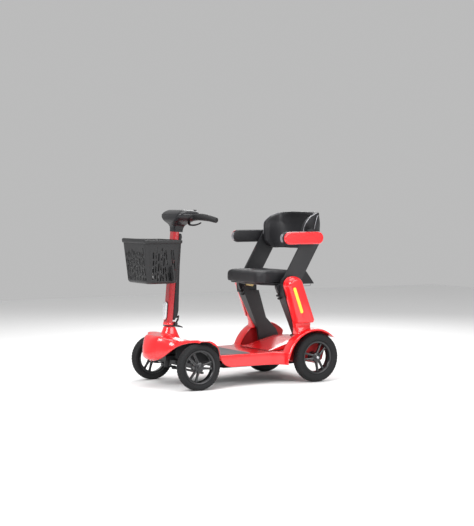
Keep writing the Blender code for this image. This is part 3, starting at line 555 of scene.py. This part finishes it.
# ---------------------------------------------------------------- deck, hump, mudguards
def deck():
    """Footwell shell: rounded sides, a rounded chin and cheeks that widen to the mudguards."""
    flare = [(210, 96), (212, 130), (219, 160), (233, 184), (252, 200), (276, 210), (276, 216), (214, 238)]
    right = [(210, -138)] + flare + [(164, 238), (164, 484)]
    outline = right + [(-x, y) for x, y in reversed(right)]
    wall = 4.5
    inner = [(x * (1 - wall / max(164, abs(x))), y + (wall if y < -100 else -wall if y > 470 else 0))
             for x, y in outline]
    shell = make("deck_look", prism(outline, "Z", 97, 158), M["red"])
    chin = [(-68 + 70.5 * math.cos(math.radians(a)), 151 + 54.5 * math.sin(math.radians(a)))
            for a in range(180, 271, 6)]
    belly = chin + [(-68, 60), (-160, 60), (-160, 151)]
    hollows = [prism(inner, "Z", 65, 154),
               prism([(-124, 220), (124, 220), (124, 476), (-124, 476)], "Z", 140, 200),
               prism([(-36, -160), (36, -160), (36, -120), (-36, -120)], "Z", 80, 152),
               prism(arc(*REAR_AXLE, 12, 0, 345, 23), "X", -200, 200),
               prism([(-171, 435), (171, 435), (171, 455), (-171, 455)], "Z", 85, 111.5),
               prism([(-171, 319), (171, 319), (171, 345), (-171, 345)], "Z", 85, 111.5)]
    carve(shell, [prism(belly, "X", -300, 300)])
    round_edges(shell, 13, 6)
    bake(shell)
    carve(shell, hollows)
    crease(shell.data, 35)
    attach(shell, "chassis")
    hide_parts("deck_shell")
    sheet = prism(rounded_rect(-198, 198, -130, 42, 14), "Z", 158.3, 160.4)
    show("mat_look", sheet, M["mat"], "chassis", ["floor_mat"], bevel=0.6)
    ribs = []
    for i in range(33):
        x = -184 + 11.5 * i
        ribs.append(prism(rounded_rect(x - 2.6, x + 2.6, -122, 34, 2.5, 2), "Z", 160.2, 161.5))
    show("mat_ribs", merged(*ribs), M["mat"], "chassis", bevel=0.4, segments=1)


def battery_hump():
    """Lift-out battery: red lid, cells below, seam, charging cover and handle."""
    profile = [(171, HUMP_BASE), (186, 161), (214, 167), (262, 180), (318, 195), (350, 203.5), (368, 207.5),
               (386, 209), (455, 209), (470, 206), (479, 196), (482, 182), (482, HUMP_BASE)]
    rings = []
    for x, drop in ((144, 0.0), (143, 0.45), (139, 0.78), (132, 0.94), (122, 1.0), (60, 1.01), (0, 1.012)):
        rings.append([(x, y, HUMP_BASE + (z - HUMP_BASE) * drop + (0.01 if drop == 0 else 0))
                      for y, z in profile])
    rings += [[(-x, y, z) for x, y, z in ring] for ring in rings[-2::-1]]
    lower = prism([(-117.5, 226.5), (117.5, 226.5), (117.5, 341.5), (-117.5, 341.5)], "Z", 99, 158.9)
    show("hump_look", loft(rings), M["red"], "battery", ["battery_pack"], angle=50)
    show("cell_pack", lower, M["plastic"], "battery", bevel=3)
    seam = [(x, y, 159.6) for x, y in rounded_rect(-144.4, 144.4, 171.4, 482.2, 8, 4)]
    show("hump_seam", swept(seam, [0.9] * len(seam), 6, loop=True), M["plastic"], "battery")
    port = prism(capsule((-34, 182), (-22, 182), 9, 8), "Y", 480.5, 483.6)
    show("charging_cover", port, M["grip"], "battery", bevel=1)
    handle = smooth_route([(-46, 428, 206), (-44, 428, 212), (-30, 428, 214.5), (30, 428, 214.5),
                           (44, 428, 212), (46, 428, 206)], 6)
    show("hump_handle", swept(handle, [4.2] * len(handle), 12), M["plastic"], "battery")


def fender_point(degrees, grow):
    """Point on the mudguard's arc, which opens out towards the front; grow moves it outwards."""
    t = (degrees - FENDER_START) / FENDER_SWEEP
    r = 138 + 17.8 * t + 30.2 * t * t + grow
    a = math.radians(degrees)
    return REAR_AXLE[0] + r * math.cos(a), REAR_AXLE[1] + r * math.sin(a)


def fender(side, name):
    """Mudguard over the rear wheel, its inner wall, and the riser that joins it to the leg cover."""
    y, z = REAR_AXLE
    skin = ((213, -4.5), (217, -1.5), (226, 0.4), (244, 1.6), (262, 1.4), (275, -0.4), (282, -4), (285, -9.5),
            (282, -9.5), (279.5, -6), (273, -4), (262, -2.6), (244, -2.4), (226, -3.6), (218, -5.4), (213, -8))
    rings = []
    for i in range(61):
        degrees = FENDER_START + FENDER_SWEEP * i / 60
        fade = min(1.0, i / 5, (60 - i) / 4) ** 0.5
        rings.append([(side * x, *fender_point(degrees, h * fade)) for x, h in skin])
    rim_line = [fender_point(FENDER_START + FENDER_SWEEP * i / 40, -5) for i in range(41)]
    axle_notch = [(y - 60, 106), (y - 27, 106)] + arc(y, z, 27, 215, -35, 24) + [(y + 27, 106), (y + 60, 106)]
    wall = prism(rim_line + axle_notch, "X", side * 213, side * 216.5)
    rows = []
    for t in range(12):
        u = t / 11
        inner = 190 + 23 * u
        front = 286 - 18 * u + 5 * math.sin(math.pi * u)
        rear = 380 - 9 * u - 10 * math.sin(math.pi * u)
        outer = 268 - 21 * math.sin(math.pi * 0.5 * min(1, 1.5 * u))
        rows.append([(side * x, yy, 233 + 82 * u) for x, yy in rounded_rect(inner, outer, front, rear, 10, 4)])
    show(f"fender_look_{name}", loft(rings), M["red"], "chassis", [f"rear_fender_{name}"],
         angle=50)
    # The inner wall is dark red: painted shade under the mudguard.
    show(f"fender_wall_{name}", wall, M["seam_and_shade_red"], "chassis", angle=30)
    riser = make(f"fender_riser_{name}", loft(rows), M["red"], 50)
    arch = [fender_point(degrees, -5) for degrees in range(FENDER_START, FENDER_START + FENDER_SWEEP + 1, 3)]
    carve(riser, [prism(arch + [(y, z)], "X", side * 180, side * 300)])
    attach(riser, "chassis")


# ---------------------------------------------------------------- upright covers
def cover_outline(front, rear, top, bottom):
    """Upright cover seen from the side; each value draws one edge in."""
    y, z = BACK_PIVOT
    points = []
    for i in range(49):
        a = math.radians(15.5 + 180 * i / 48)
        reach = 47 - rear if math.cos(a) > 0 else 51 - 0.55 * front
        points.append((y - 2 + reach * math.cos(a), z - 2 + (45 - top) * math.sin(a)))
    low = [(266 + front, 301 + bottom), (373 - rear, 301 + bottom)]
    start = points[-1]
    left = [(start[0] + (low[0][0] - start[0]) * t, start[1] + (low[0][1] + 12 - start[1]) * t)
            for t in (0.25, 0.5, 0.75)]
    foot = arc(low[0][0] + 12, low[0][1] + 12, 12, 180, 270, 6)
    foot += arc(low[1][0] - 12, low[1][1] + 12, 12, 270, 360, 6)
    return points + left + foot


def leg_cover(side, name):
    """Domed red cover, its cheek and seam, and the black shroud and knobs inside it."""
    rings = []
    for i in range(15):
        a = math.pi / 2 * i / 14
        front = 33 * (1 - math.cos(a)) ** 0.85
        rear = 17 * (1 - math.cos(a))
        top = 22 * (1 - math.cos(a)) ** 1.05
        x = 236 + 48 * math.sin(a) ** 0.8
        rings.append([(side * x, y, z) for y, z in cover_outline(front, rear, top, 11 * (1 - math.cos(a)))])
    show(f"leg_cover_look_{name}", loft(rings), M["red"], "chassis", [f"leg_cover_{name}"],
         angle=40)
    wedge = loft([[(side * x, y, z) for x, y in ((inner, front), (246, front), (246, rear), (inner, rear))]
                  for z, inner, front, rear in ((301, 212.6, 277, 350), (430, 233, 224, 310))])
    show(f"leg_cover_cheek_{name}", wedge, M["red"], "chassis", bevel=3)
    groove = [(side * 235.6, y, z) for y, z in cover_outline(1.5, 1.5, 1.5, 1.5)]
    show(f"leg_cover_seam_{name}", swept(groove, [0.8] * len(groove), 6, loop=True), M["plastic"], "chassis")
    shroud = [(206, 500), (207, 462), (211, 436), (224, 436), (220, 500)]
    show(f"hinge_shroud_{name}", prism(shroud, "X", side * 184, side * 235.4), M["plastic"], "chassis",
         bevel=2)
    knobs = [prism(arc(y, z, 5.5, 0, 345, 23), "X", side * 176, side * 196)
             for y, z in ((206, 440), (214, 425))]
    show(f"leg_knobs_{name}", merged(*knobs), M["plastic"], "chassis", bevel=1)


# ---------------------------------------------------------------- tiller
def rim_rise(x, y):
    """The rim swells in the middle of the front and runs out along the sides."""
    if y < -480:
        return 15 * max(0.0, 1 - (x / 152) ** 2)
    return 3 * max(0.0, 1 - (y + 480) / 60)


def basket_outline(t, shrink, rise=0.0):
    """Level section at t of the height; shrink draws it in. Near the rim it stays clear of the stem."""
    half = 117 + 20 * t - shrink
    front = -492 - 19 * t + shrink
    rear = -325.5 + 17.7 * t - shrink
    ring = []
    for x, y in rounded_rect(-half, half, front, rear, 24, 9):
        z = BASKET_FOOT + BASKET_HEIGHT * t + rise + rim_rise(x, y) * max(0.0, t - 0.9) * 10
        ring.append((x, min(y, -311.5) if t > 0.9 else y, z))
    return ring


def slot_shape(u, low, high, width, lean):
    """Upright slot with round ends; lean moves its top sideways."""
    return capsule((u, low + width / 2), (u + lean, high - width / 2), width / 2, 5)


def slot_columns(first, last, pitch, dice, long_from=None):
    """Columns of uneven slots; past long_from they are long, regular and leaning."""
    shapes = []
    count = round((last - first) / pitch)
    for k in range(count + 1):
        u = first + (last - first) * k / count
        if long_from is not None and u > long_from:
            cuts = (528, 606, 690) if k % 2 else (528, 578, 690)
            for low, high in zip(cuts, cuts[1:]):
                shapes.append(slot_shape(u + 4, low, high - 9, 7.0, -0.13 * (high - low)))
            continue
        low = 527 + dice.choice((0, 0, 9))
        while low < 668:
            length = dice.choice((20, 26, 33, 41))
            high = min(low + length, 694)
            shapes.append(slot_shape(u + dice.uniform(-1, 1), low, high, 7.8, dice.uniform(-2, 2.5)))
            low = high + 7.5
    return shapes


def basket():
    """Tapered basket with rows of uneven slots, a rounded foot and a flanged, swelling rim."""
    outer = ((0.0, 14), (0.006, 7.5), (0.022, 2.8), (0.05, 0.4), (0.08, 0), (0.5, 0), (0.9, 0), (0.95, 0),
             (0.985, 0))
    inner = ((0.985, 3.4), (0.95, 3.4), (0.9, 3.4), (0.5, 3.4), (0.08, 3.4), (0.05, 4.2), (0.03, 8),
             (0.022, 15))
    rings = [basket_outline(t, shrink) for t, shrink in outer + inner]
    wall = make("basket_wall", loft(rings), M["basket"], 40)
    dice = random.Random(11)
    cutters = [prism(shape, "Y", -530, -468) for shape in slot_columns(-98, 98, 14, dice)]
    cutters += [prism(shape, "Y", -350, -300) for shape in slot_columns(-97, 97, 19, dice)]
    for side in (1, -1):
        cutters += [prism(shape, "X", side * 98, side * 150)
                    for shape in slot_columns(-466, -350, 14.5, dice, -402)]
    floor_cuts = []
    for i in range(9):
        for k in range(6):
            x, y = -88 + 22 * i, -466 + 22 * k
            floor_cuts.append(prism(rounded_rect(x - 7, x + 7, y - 7, y + 7, 3, 3), "Z", 505, 525))
    carve(wall, [merged(*cutters), merged(*floor_cuts)])
    crease(wall.data, 40)
    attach(wall, "basket")
    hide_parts("basket")
    section = ((0.93, 0.1, 0), (0.935, -3.6, 0), (0.945, -4.8, 0), (0.985, -5.0, 0), (0.998, -4.4, 1.2),
               (1.0, -2.4, 2.8), (1.0, 0.6, 3.2), (0.998, 3.6, 2.2), (0.985, 4.2, 0), (0.93, 4.2, 0))
    rings = [basket_outline(t, shrink, rise) for t, shrink, rise in section]
    show("basket_rim", loft(rings, loop=True), M["basket"], "basket", angle=50)


def lever(side, name, node):
    """Curved finger lever that hangs from the console and sweeps up towards the grip."""
    places = ((60, 36, 524), (64, 34, 514), (78, 31, 508), (102, 33, 506.5), (124, 40, 509), (141, 49, 515.5),
              (152, 54, 522))
    route = smooth_route([(side * x, y, z) for x, y, z in places], 8)
    last = len(route) - 1
    radii = [7.0 - 2.6 * (i / last) if i < last - 2 else 4.4 - 1.3 * (i - last + 2) for i in range(last + 1)]
    show(f"{node}_look", leaned(swept(route, radii, 14, 0.8)), M["satin"], node, [node])


def console():
    """Console body on the leaning stem: sections by height, half width, front, rear and corner radius."""
    sections = ((469.4, 27, 27, 24, 9), (482, 27, 27.5, 25, 9), (494, 29, 29, 28, 10), (503, 36, 34, 33, 13),
                (511, 50, 40, 42, 18), (519, 68, 46, 51, 22), (528, 84, 49, 59, 25), (540, 98, 50, 67, 28),
                (552, 104, 47, 73, 28), (562, 102, 39, 76, 26), (570, 97, 29, 76, 24), (576, 90, 17, 73, 20),
                (579, 82, 8, 68, 16))
    rings = []
    for z, half, front, rear, radius in sections:
        rings.append([(x, y, z) for x, y in rounded_rect(-half, half, -front, rear, radius, 8)])
    show("console_look", leaned(loft(rings)), M["satin"], "tiller", ["console_shell"],
         angle=50)
    keys = [prism(arc(x, 62, 4, 0, 342, 19), "Z", 577, 580.3) for x in (-34, -17, 0, 17, 34)]
    show("console_keys", leaned(merged(*keys)), M["grip"], "tiller", bevel=0.6)
    line = [(x, y, 552) for x, y in rounded_rect(-104.2, 104.2, -47.2, 73.2, 28, 10)]
    show("console_seam", leaned(swept(line, [0.7] * len(line), 6, loop=True)), M["plastic"], "tiller")
    for side, name in SIDES:
        sleeve = smooth_route([(side * 88, 50, 548), (side * 97, 51, 548), (side * 104, 52, 548)], 3)
        show(f"console_sleeve_{name}", leaned(swept(sleeve, [21, 20, 19, 18.5, 18, 17.5, 17], 24)), M["satin"],
             "tiller")


def grip(side, name):
    """Curved rubber grip with a swell, shallow rings and a rounded end."""
    route = smooth_route([(side * 105, 52, 548), (side * 150, 58, 549), (side * 205, 71, 544),
                          (side * 238, 82, 538), (side * 249, 86, 536)], 14)
    radii = []
    last = len(route) - 1
    for i in range(len(route)):
        t = i / last
        base = 16.6 + 1.5 * math.sin(math.pi * min(1, t * 2.0)) - 5.2 * max(0, t - 0.35)
        if 0.1 < t < 0.8 and i % 3 == 0:
            base -= 1.0
        if t > 0.93:
            base *= math.sqrt(max(0.08, 1 - ((t - 0.93) / 0.072) ** 2))
        radii.append(base)
    show(f"grip_look_{name}", leaned(swept(route, radii, 28, 0.95)), M["grip"], "tiller",
         [f"grip_{name}"], angle=50)


def stem_details():
    """Headlight with its bezel, and the collar at the stem's foot."""
    outline = capsule((0, 44), (0, 102), 17)
    lamp = prism(outline, "Y", -39, -26.3)
    show("headlight_look", leaned(lamp), M["silver"], "tiller", ["headlight"], bevel=6, segments=5)
    bezel = [(x, -27.2, z) for x, z in capsule((0, 44), (0, 102), 17.6)]
    show("headlight_bezel", leaned(swept(bezel, [1.2] * len(bezel), 8, loop=True)), M["plastic"], "tiller")
    collar = []
    for grow, z in ((0.8, 4.2), (1.6, 6), (1.6, 13), (0.6, 15)):
        outline = rounded_rect(-25 - grow, 25 + grow, -26 - grow, 6 + grow, 9 + grow, 6)
        collar.append([(x, y, z) for x, y in outline])
    show("stem_collar", leaned(loft(collar)), M["red"], "tiller")


def fold_cables():
    """Wiring loop at the folding joint: it leaves the stem cover, bows out and enters the turret."""
    routes = {"cable_loop_look": (2.2, ((5, 29, 44), (3, 37, 48), (-1, 47, 52), (-6, 50, 45), (-10, 46, 33),
                                        (-12, 42, 22), (-12, 40, 10), (-12, 40, 2), (-12, 40, -3)))}
    for k in range(3):
        routes[f"fold_wiring_{k}"] = (1.6, ((6 - 5 * k, 28, 46 - 3 * k), (5 - 5 * k, 38 + 3 * k, 50 - 4 * k),
                                            (2 - 4 * k, 46 + 2 * k, 40 - 4 * k),
                                            (-2 - 3 * k, 41 + 2 * k, 26 - 2 * k),
                                            (-1 - 2 * k, 38, 16), (-1 - 2 * k, 36, 8)))
    for name, (radius, points) in routes.items():
        route = smooth_route(points, 8)
        obj = make(name, leaned(swept(route, [radius] * len(route), 10)), M["plastic"])
        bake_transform(obj)
        if name == "cable_loop_look":
            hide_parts("cable_loop")


# ---------------------------------------------------------------- padding
def puff(obj):
    """Fills the cover like foam: fine even mesh, a short pressure simulation, and a limit on the swelling."""
    remesh = obj.modifiers.new("even_mesh", "REMESH")
    remesh.mode = "VOXEL"
    remesh.voxel_size = FOAM_VOXEL * MM
    bake(obj)
    rest = [v.co.copy() for v in obj.data.vertices]
    cloth = obj.modifiers.new("cover", "CLOTH")
    cloth.settings.quality = 6
    cloth.settings.use_pressure = True
    cloth.settings.uniform_pressure_force = 4.0
    cloth.settings.tension_stiffness = 18
    cloth.settings.compression_stiffness = 18
    cloth.settings.effector_weights.gravity = 0.0
    scene = bpy.context.scene
    for step in range(1, 21):
        scene.frame_set(step)
    bake(obj)
    scene.frame_set(1)
    for v, start in zip(obj.data.vertices, rest):
        move = v.co - start
        if move.length > FOAM_SWELL * MM:
            v.co = start + move.normalized() * FOAM_SWELL * MM
    relax(obj, 3)
    finer = obj.modifiers.new("finer", "SUBSURF")
    finer.levels = 1
    finer.render_levels = 1
    bake(obj)
    obj.data.shade_smooth()


def cushion_ring(z, inset):
    """Level section of the seat cushion, rounded in front and drawn in by inset."""
    front = arc(-132 + inset, 137, 45, 180, 270, 9) + arc(132 - inset, 137, 45, 270, 360, 9)
    front = [(x, y + inset) for x, y in front]
    rear = [(172 - inset, 178), (167 - inset, 205), (164.5 - inset, 240), (164 - inset, 300),
            (163 - inset, 330 - inset), (150 - inset, 344 - inset), (-150 + inset, 344 - inset),
            (-163 + inset, 330 - inset), (-164 + inset, 300), (-164.5 + inset, 240), (-167 + inset, 205),
            (-172 + inset, 178)]
    return [(x, y, z) for x, y in front + rear]


def seat_cushion():
    """Padded seat with a shallow dip, resting flat on its pan."""
    levels = ((503.6, 10), (505.5, 5), (512, 3), (530, 3), (545, 3.5), (554, 7), (559.5, 14), (562.5, 28),
              (563.5, 55))
    obj = make("seat_cushion_look", loft([cushion_ring(z, inset) for z, inset in levels]), M["leather"])
    puff(obj)
    for v in obj.data.vertices:
        x, y, z = v.co / MM
        if z > 530:
            dip = 4.0 * math.exp(-(x / 95) ** 2 - ((y - 240) / 80) ** 2)
            v.co.z -= dip * MM * min(1.0, (z - 530) / 20)
        v.co.z = max(v.co.z, CUSHION_BASE * MM)
        v.co.y = max(v.co.y, CUSHION_FRONT * MM)
    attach(obj, "seat")
    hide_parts("seat_cushion")
    seam_round(obj, "cushion_piping", 509, "seat", 1.4)
    seat_pan()


def seat_pan():
    """Moulded tray under the cushion, its front corners cut round, with two lugs for the seat pins."""
    pan_profile = [(118, 498), (126, 494.5), (200, 490), (352, 490), (358, 494), (438, 494), (435, 501),
                   (392, 558), (364, 560), (348, 502.9), (118, 502.9)]
    pan = make("seat_pan_look", prism(pan_profile, "X", -163, 163), M["plastic"])
    for side in (-1, 1):
        corner = [(side * x, y) for x, y in [(190, 90)] + arc(128, 153, 35, -90, 0, 10)]
        carve(pan, [prism(corner, "Z", 480, 510)])
    lugs = [prism(capsule((222, 481), (222, 486), 15, 8), "X", side * 152, side * 162) for side in (-1, 1)]
    show("seat_pan_lugs", merged(*lugs), M["metal"], "seat", bevel=1.5)
    crease(pan.data, 30)
    round_edges(pan, 1.8, 3)
    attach(pan, "seat")
    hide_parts("seat_pan")


def seam_round(obj, name, height, body, radius):
    """Piping laid on the cushion's side at one height, following the shape it has by now."""
    tree = BVHTree.FromPolygons([v.co.copy() for v in obj.data.vertices],
                                [p.vertices[:] for p in obj.data.polygons])
    line = []
    for i in range(96):
        a = 2 * math.pi * i / 96
        far = Vector((0.4 * math.cos(a), 0.23 + 0.4 * math.sin(a), height * MM))
        hit = tree.ray_cast(far, Vector((-math.cos(a), -math.sin(a), 0)))
        if hit[0] is not None:
            line.append(hit[0] / MM)
    show(name, swept(line, [radius] * len(line), 8, loop=True), M["thread"], body)


# Backrest sections: height, then Y of the wing's tip, Y of the back and half width.
PAD = ((665, 396, 482, 183), (680, 367, 494, 192), (706, 347, 505, 197.5), (757, 343, 512, 200.5),
       (778, 345, 511, 203), (806, 352, 506, 210), (837, 384, 495, 204), (856, 428, 481, 192),
       (866, 448, 469, 176))


def pad_at(z):
    return between_rows([PAD[0], *PAD, PAD[-1]], z)


def pad_ring(z, shrink):
    """Horseshoe section that wraps forward at both sides."""
    tip, back, half = pad_at(z)
    outer = []
    inner = []
    for i in range(33):
        a = math.radians(-90 + 180 * i / 32)
        u = math.copysign(abs(math.sin(a)) ** 0.7, a) if i != 16 else 0.0
        v = max(0.0, math.cos(a)) ** 0.7
        outer.append(((half - shrink) * u, tip + shrink + (back - 2 * shrink - tip) * v, z))
        inner.append(((half - 36 + shrink) * u, tip + shrink + 2 + (back - 42 - tip) * v, z))
    return outer + inner[::-1]


def backrest_pad():
    """Padded backrest with a painted highlight up the front edge of its wings and a zip on each side."""
    heights = (668, 670, 673, 678, 685, 694, 708, 730, 757, 778, 794, 806, 816, 826, 837, 845, 852, 857, 860.5,
               863.5)
    obj = make("backrest_pad_look", loft([pad_ring(z, 3) for z in heights]), M["leather"])
    puff(obj)
    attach(obj, "backrest")
    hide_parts("backrest_pad")
    for side, name in SIDES:
        # Grey line along the front edge of each wing: painted highlight.
        edge = []
        for z in range(742, 859, 5):
            tip, _, half = pad_at(z)
            edge.append((side * (half - 5), tip + 8.5, z))
        edge = smooth_route(edge, 2)
        show(f"pad_edge_highlight_{name}", swept(edge, [2.0] * len(edge), 8), M["zip_and_highlight_grey"], "backrest")
        zip_line = []
        for z in range(775, 846, 5):
            tip, back, half = pad_at(z)
            zip_line.append((side * (half - 1.5 + 0.6), tip + 0.42 * (back - tip), z))
        zip_line = smooth_route(zip_line, 2)
        show(f"pad_zip_{name}", swept(zip_line, [1.6] * len(zip_line), 6), M["zip_and_highlight_grey"], "backrest")


def armrest(side, name):
    """Padded arm with a red cap on its outside; the left cap starts further forward than the right one."""
    body = f"armrest_{name}"
    rings = []
    for x, r in ((230, 22), (231.5, 27), (235, 30.2), (240, 31.4), (246, 31.6), (252, 31.4), (257, 30.2),
                 (261, 27), (262.6, 22)):
        rings.append([(side * x, y, z) for y, z in capsule(ARMREST_TIP, ARMREST_REAR, r, 20)])
    obj = show(f"armrest_look_{name}", loft(rings), M["leather"], body, [f"armrest_{name}"],
               angle=60)
    start = 222 if side > 0 else 231
    cap = prism(capsule((start, 732), (388, 732), 31, 24), "X", side * 263, side * 283)
    show(f"armrest_cap_look_{name}", cap, M["red"], body, [f"armrest_cap_{name}"], bevel=7,
         segments=6)
    stitch = [(side * 246, y, z) for y, z in capsule(ARMREST_TIP, ARMREST_REAR, 31.7, 20)]
    show(f"armrest_seam_{name}", swept(stitch, [1.0] * len(stitch), 6, loop=True), M["thread"], body)
    # Thin grey strip over the front-facing end of the pad: painted highlight.
    inside, outside = [arc(*ARMREST_TIP, radius, 140, 220, 16) for radius in (31.2, 32.2)]
    show(f"armrest_tip_{name}", prism(inside + outside[::-1], "X", side * 237, side * 256), M["zip_and_highlight_grey"], body,
         bevel=0.3, segments=1)


# ---------------------------------------------------------------- light, floor and camera
def studio():
    """Pale floor, even white surroundings and four soft lights, in metres and watts."""
    floor_mesh = bpy.data.meshes.new("floor")
    edge = 6.0
    corners = [(-edge, -edge, 0), (edge, -edge, 0), (edge, edge, 0), (-edge, edge, 0)]
    floor_mesh.from_pydata(corners, [], [(0, 1, 2, 3)])
    floor_mesh.materials.append(surface("studio_floor", (0.86, 0.86, 0.86), 0.65, grain=(40, 0.02), tint=0.01))
    floor = bpy.data.objects.new("floor", floor_mesh)
    bpy.context.scene.collection.objects.link(floor)
    world = bpy.data.worlds.new("studio")
    world.use_nodes = True
    sky = world.node_tree.nodes["Background"]
    sky.inputs["Color"].default_value = (1, 1, 1, 1)
    sky.inputs["Strength"].default_value = 0.5
    bpy.context.scene.world = world
    bpy.context.scene.view_settings.view_transform = "Standard"
    for name, place, size, power in (("key", (1.6, -3.2, 2.8), 2.0, 165), ("fill", (3.4, 1.2, 1.6), 1.8, 55),
                                     ("rim", (-2.2, 1.8, 2.4), 1.8, 45), ("top", (0.2, 0.0, 3.4), 2.4, 75)):
        light = bpy.data.lights.new(name, "AREA")
        light.size = size
        light.energy = power
        lamp = bpy.data.objects.new(name, light)
        lamp.location = place
        aim = Vector((0, 0, 0.4)) - Vector(place)
        lamp.rotation_euler = aim.to_track_quat("-Z", "Y").to_euler()
        bpy.context.scene.collection.objects.link(lamp)


def camera():
    """Camera that sees the scooter as the photograph does."""
    lens = bpy.data.cameras.new("camera")
    lens.lens = CAMERA_LENS
    lens.sensor_width = CAMERA_SENSOR
    cam = bpy.data.objects.new("camera", lens)
    cam.location = CAMERA_PLACE
    cam.rotation_euler = Vector(CAMERA_AIM).to_track_quat("-Z", "Y").to_euler()
    bpy.context.scene.collection.objects.link(cam)
    bpy.context.scene.camera = cam


def build():
    paint_carried()
    for end in ("front", "rear"):
        for side, name in SIDES:
            tyre(end, side, name)
            rim(end, side, name)
    front_fairing()
    deck()
    battery_hump()
    basket()
    console()
    stem_details()
    fold_cables()
    seat_cushion()
    backrest_pad()
    for side, name in SIDES:
        fender(side, name)
        leg_cover(side, name)
        grip(side, name)
        lever(side, name, "brake_lever" if name == "left" else "throttle_lever")
        armrest(side, name)
    studio()
    camera()


build()
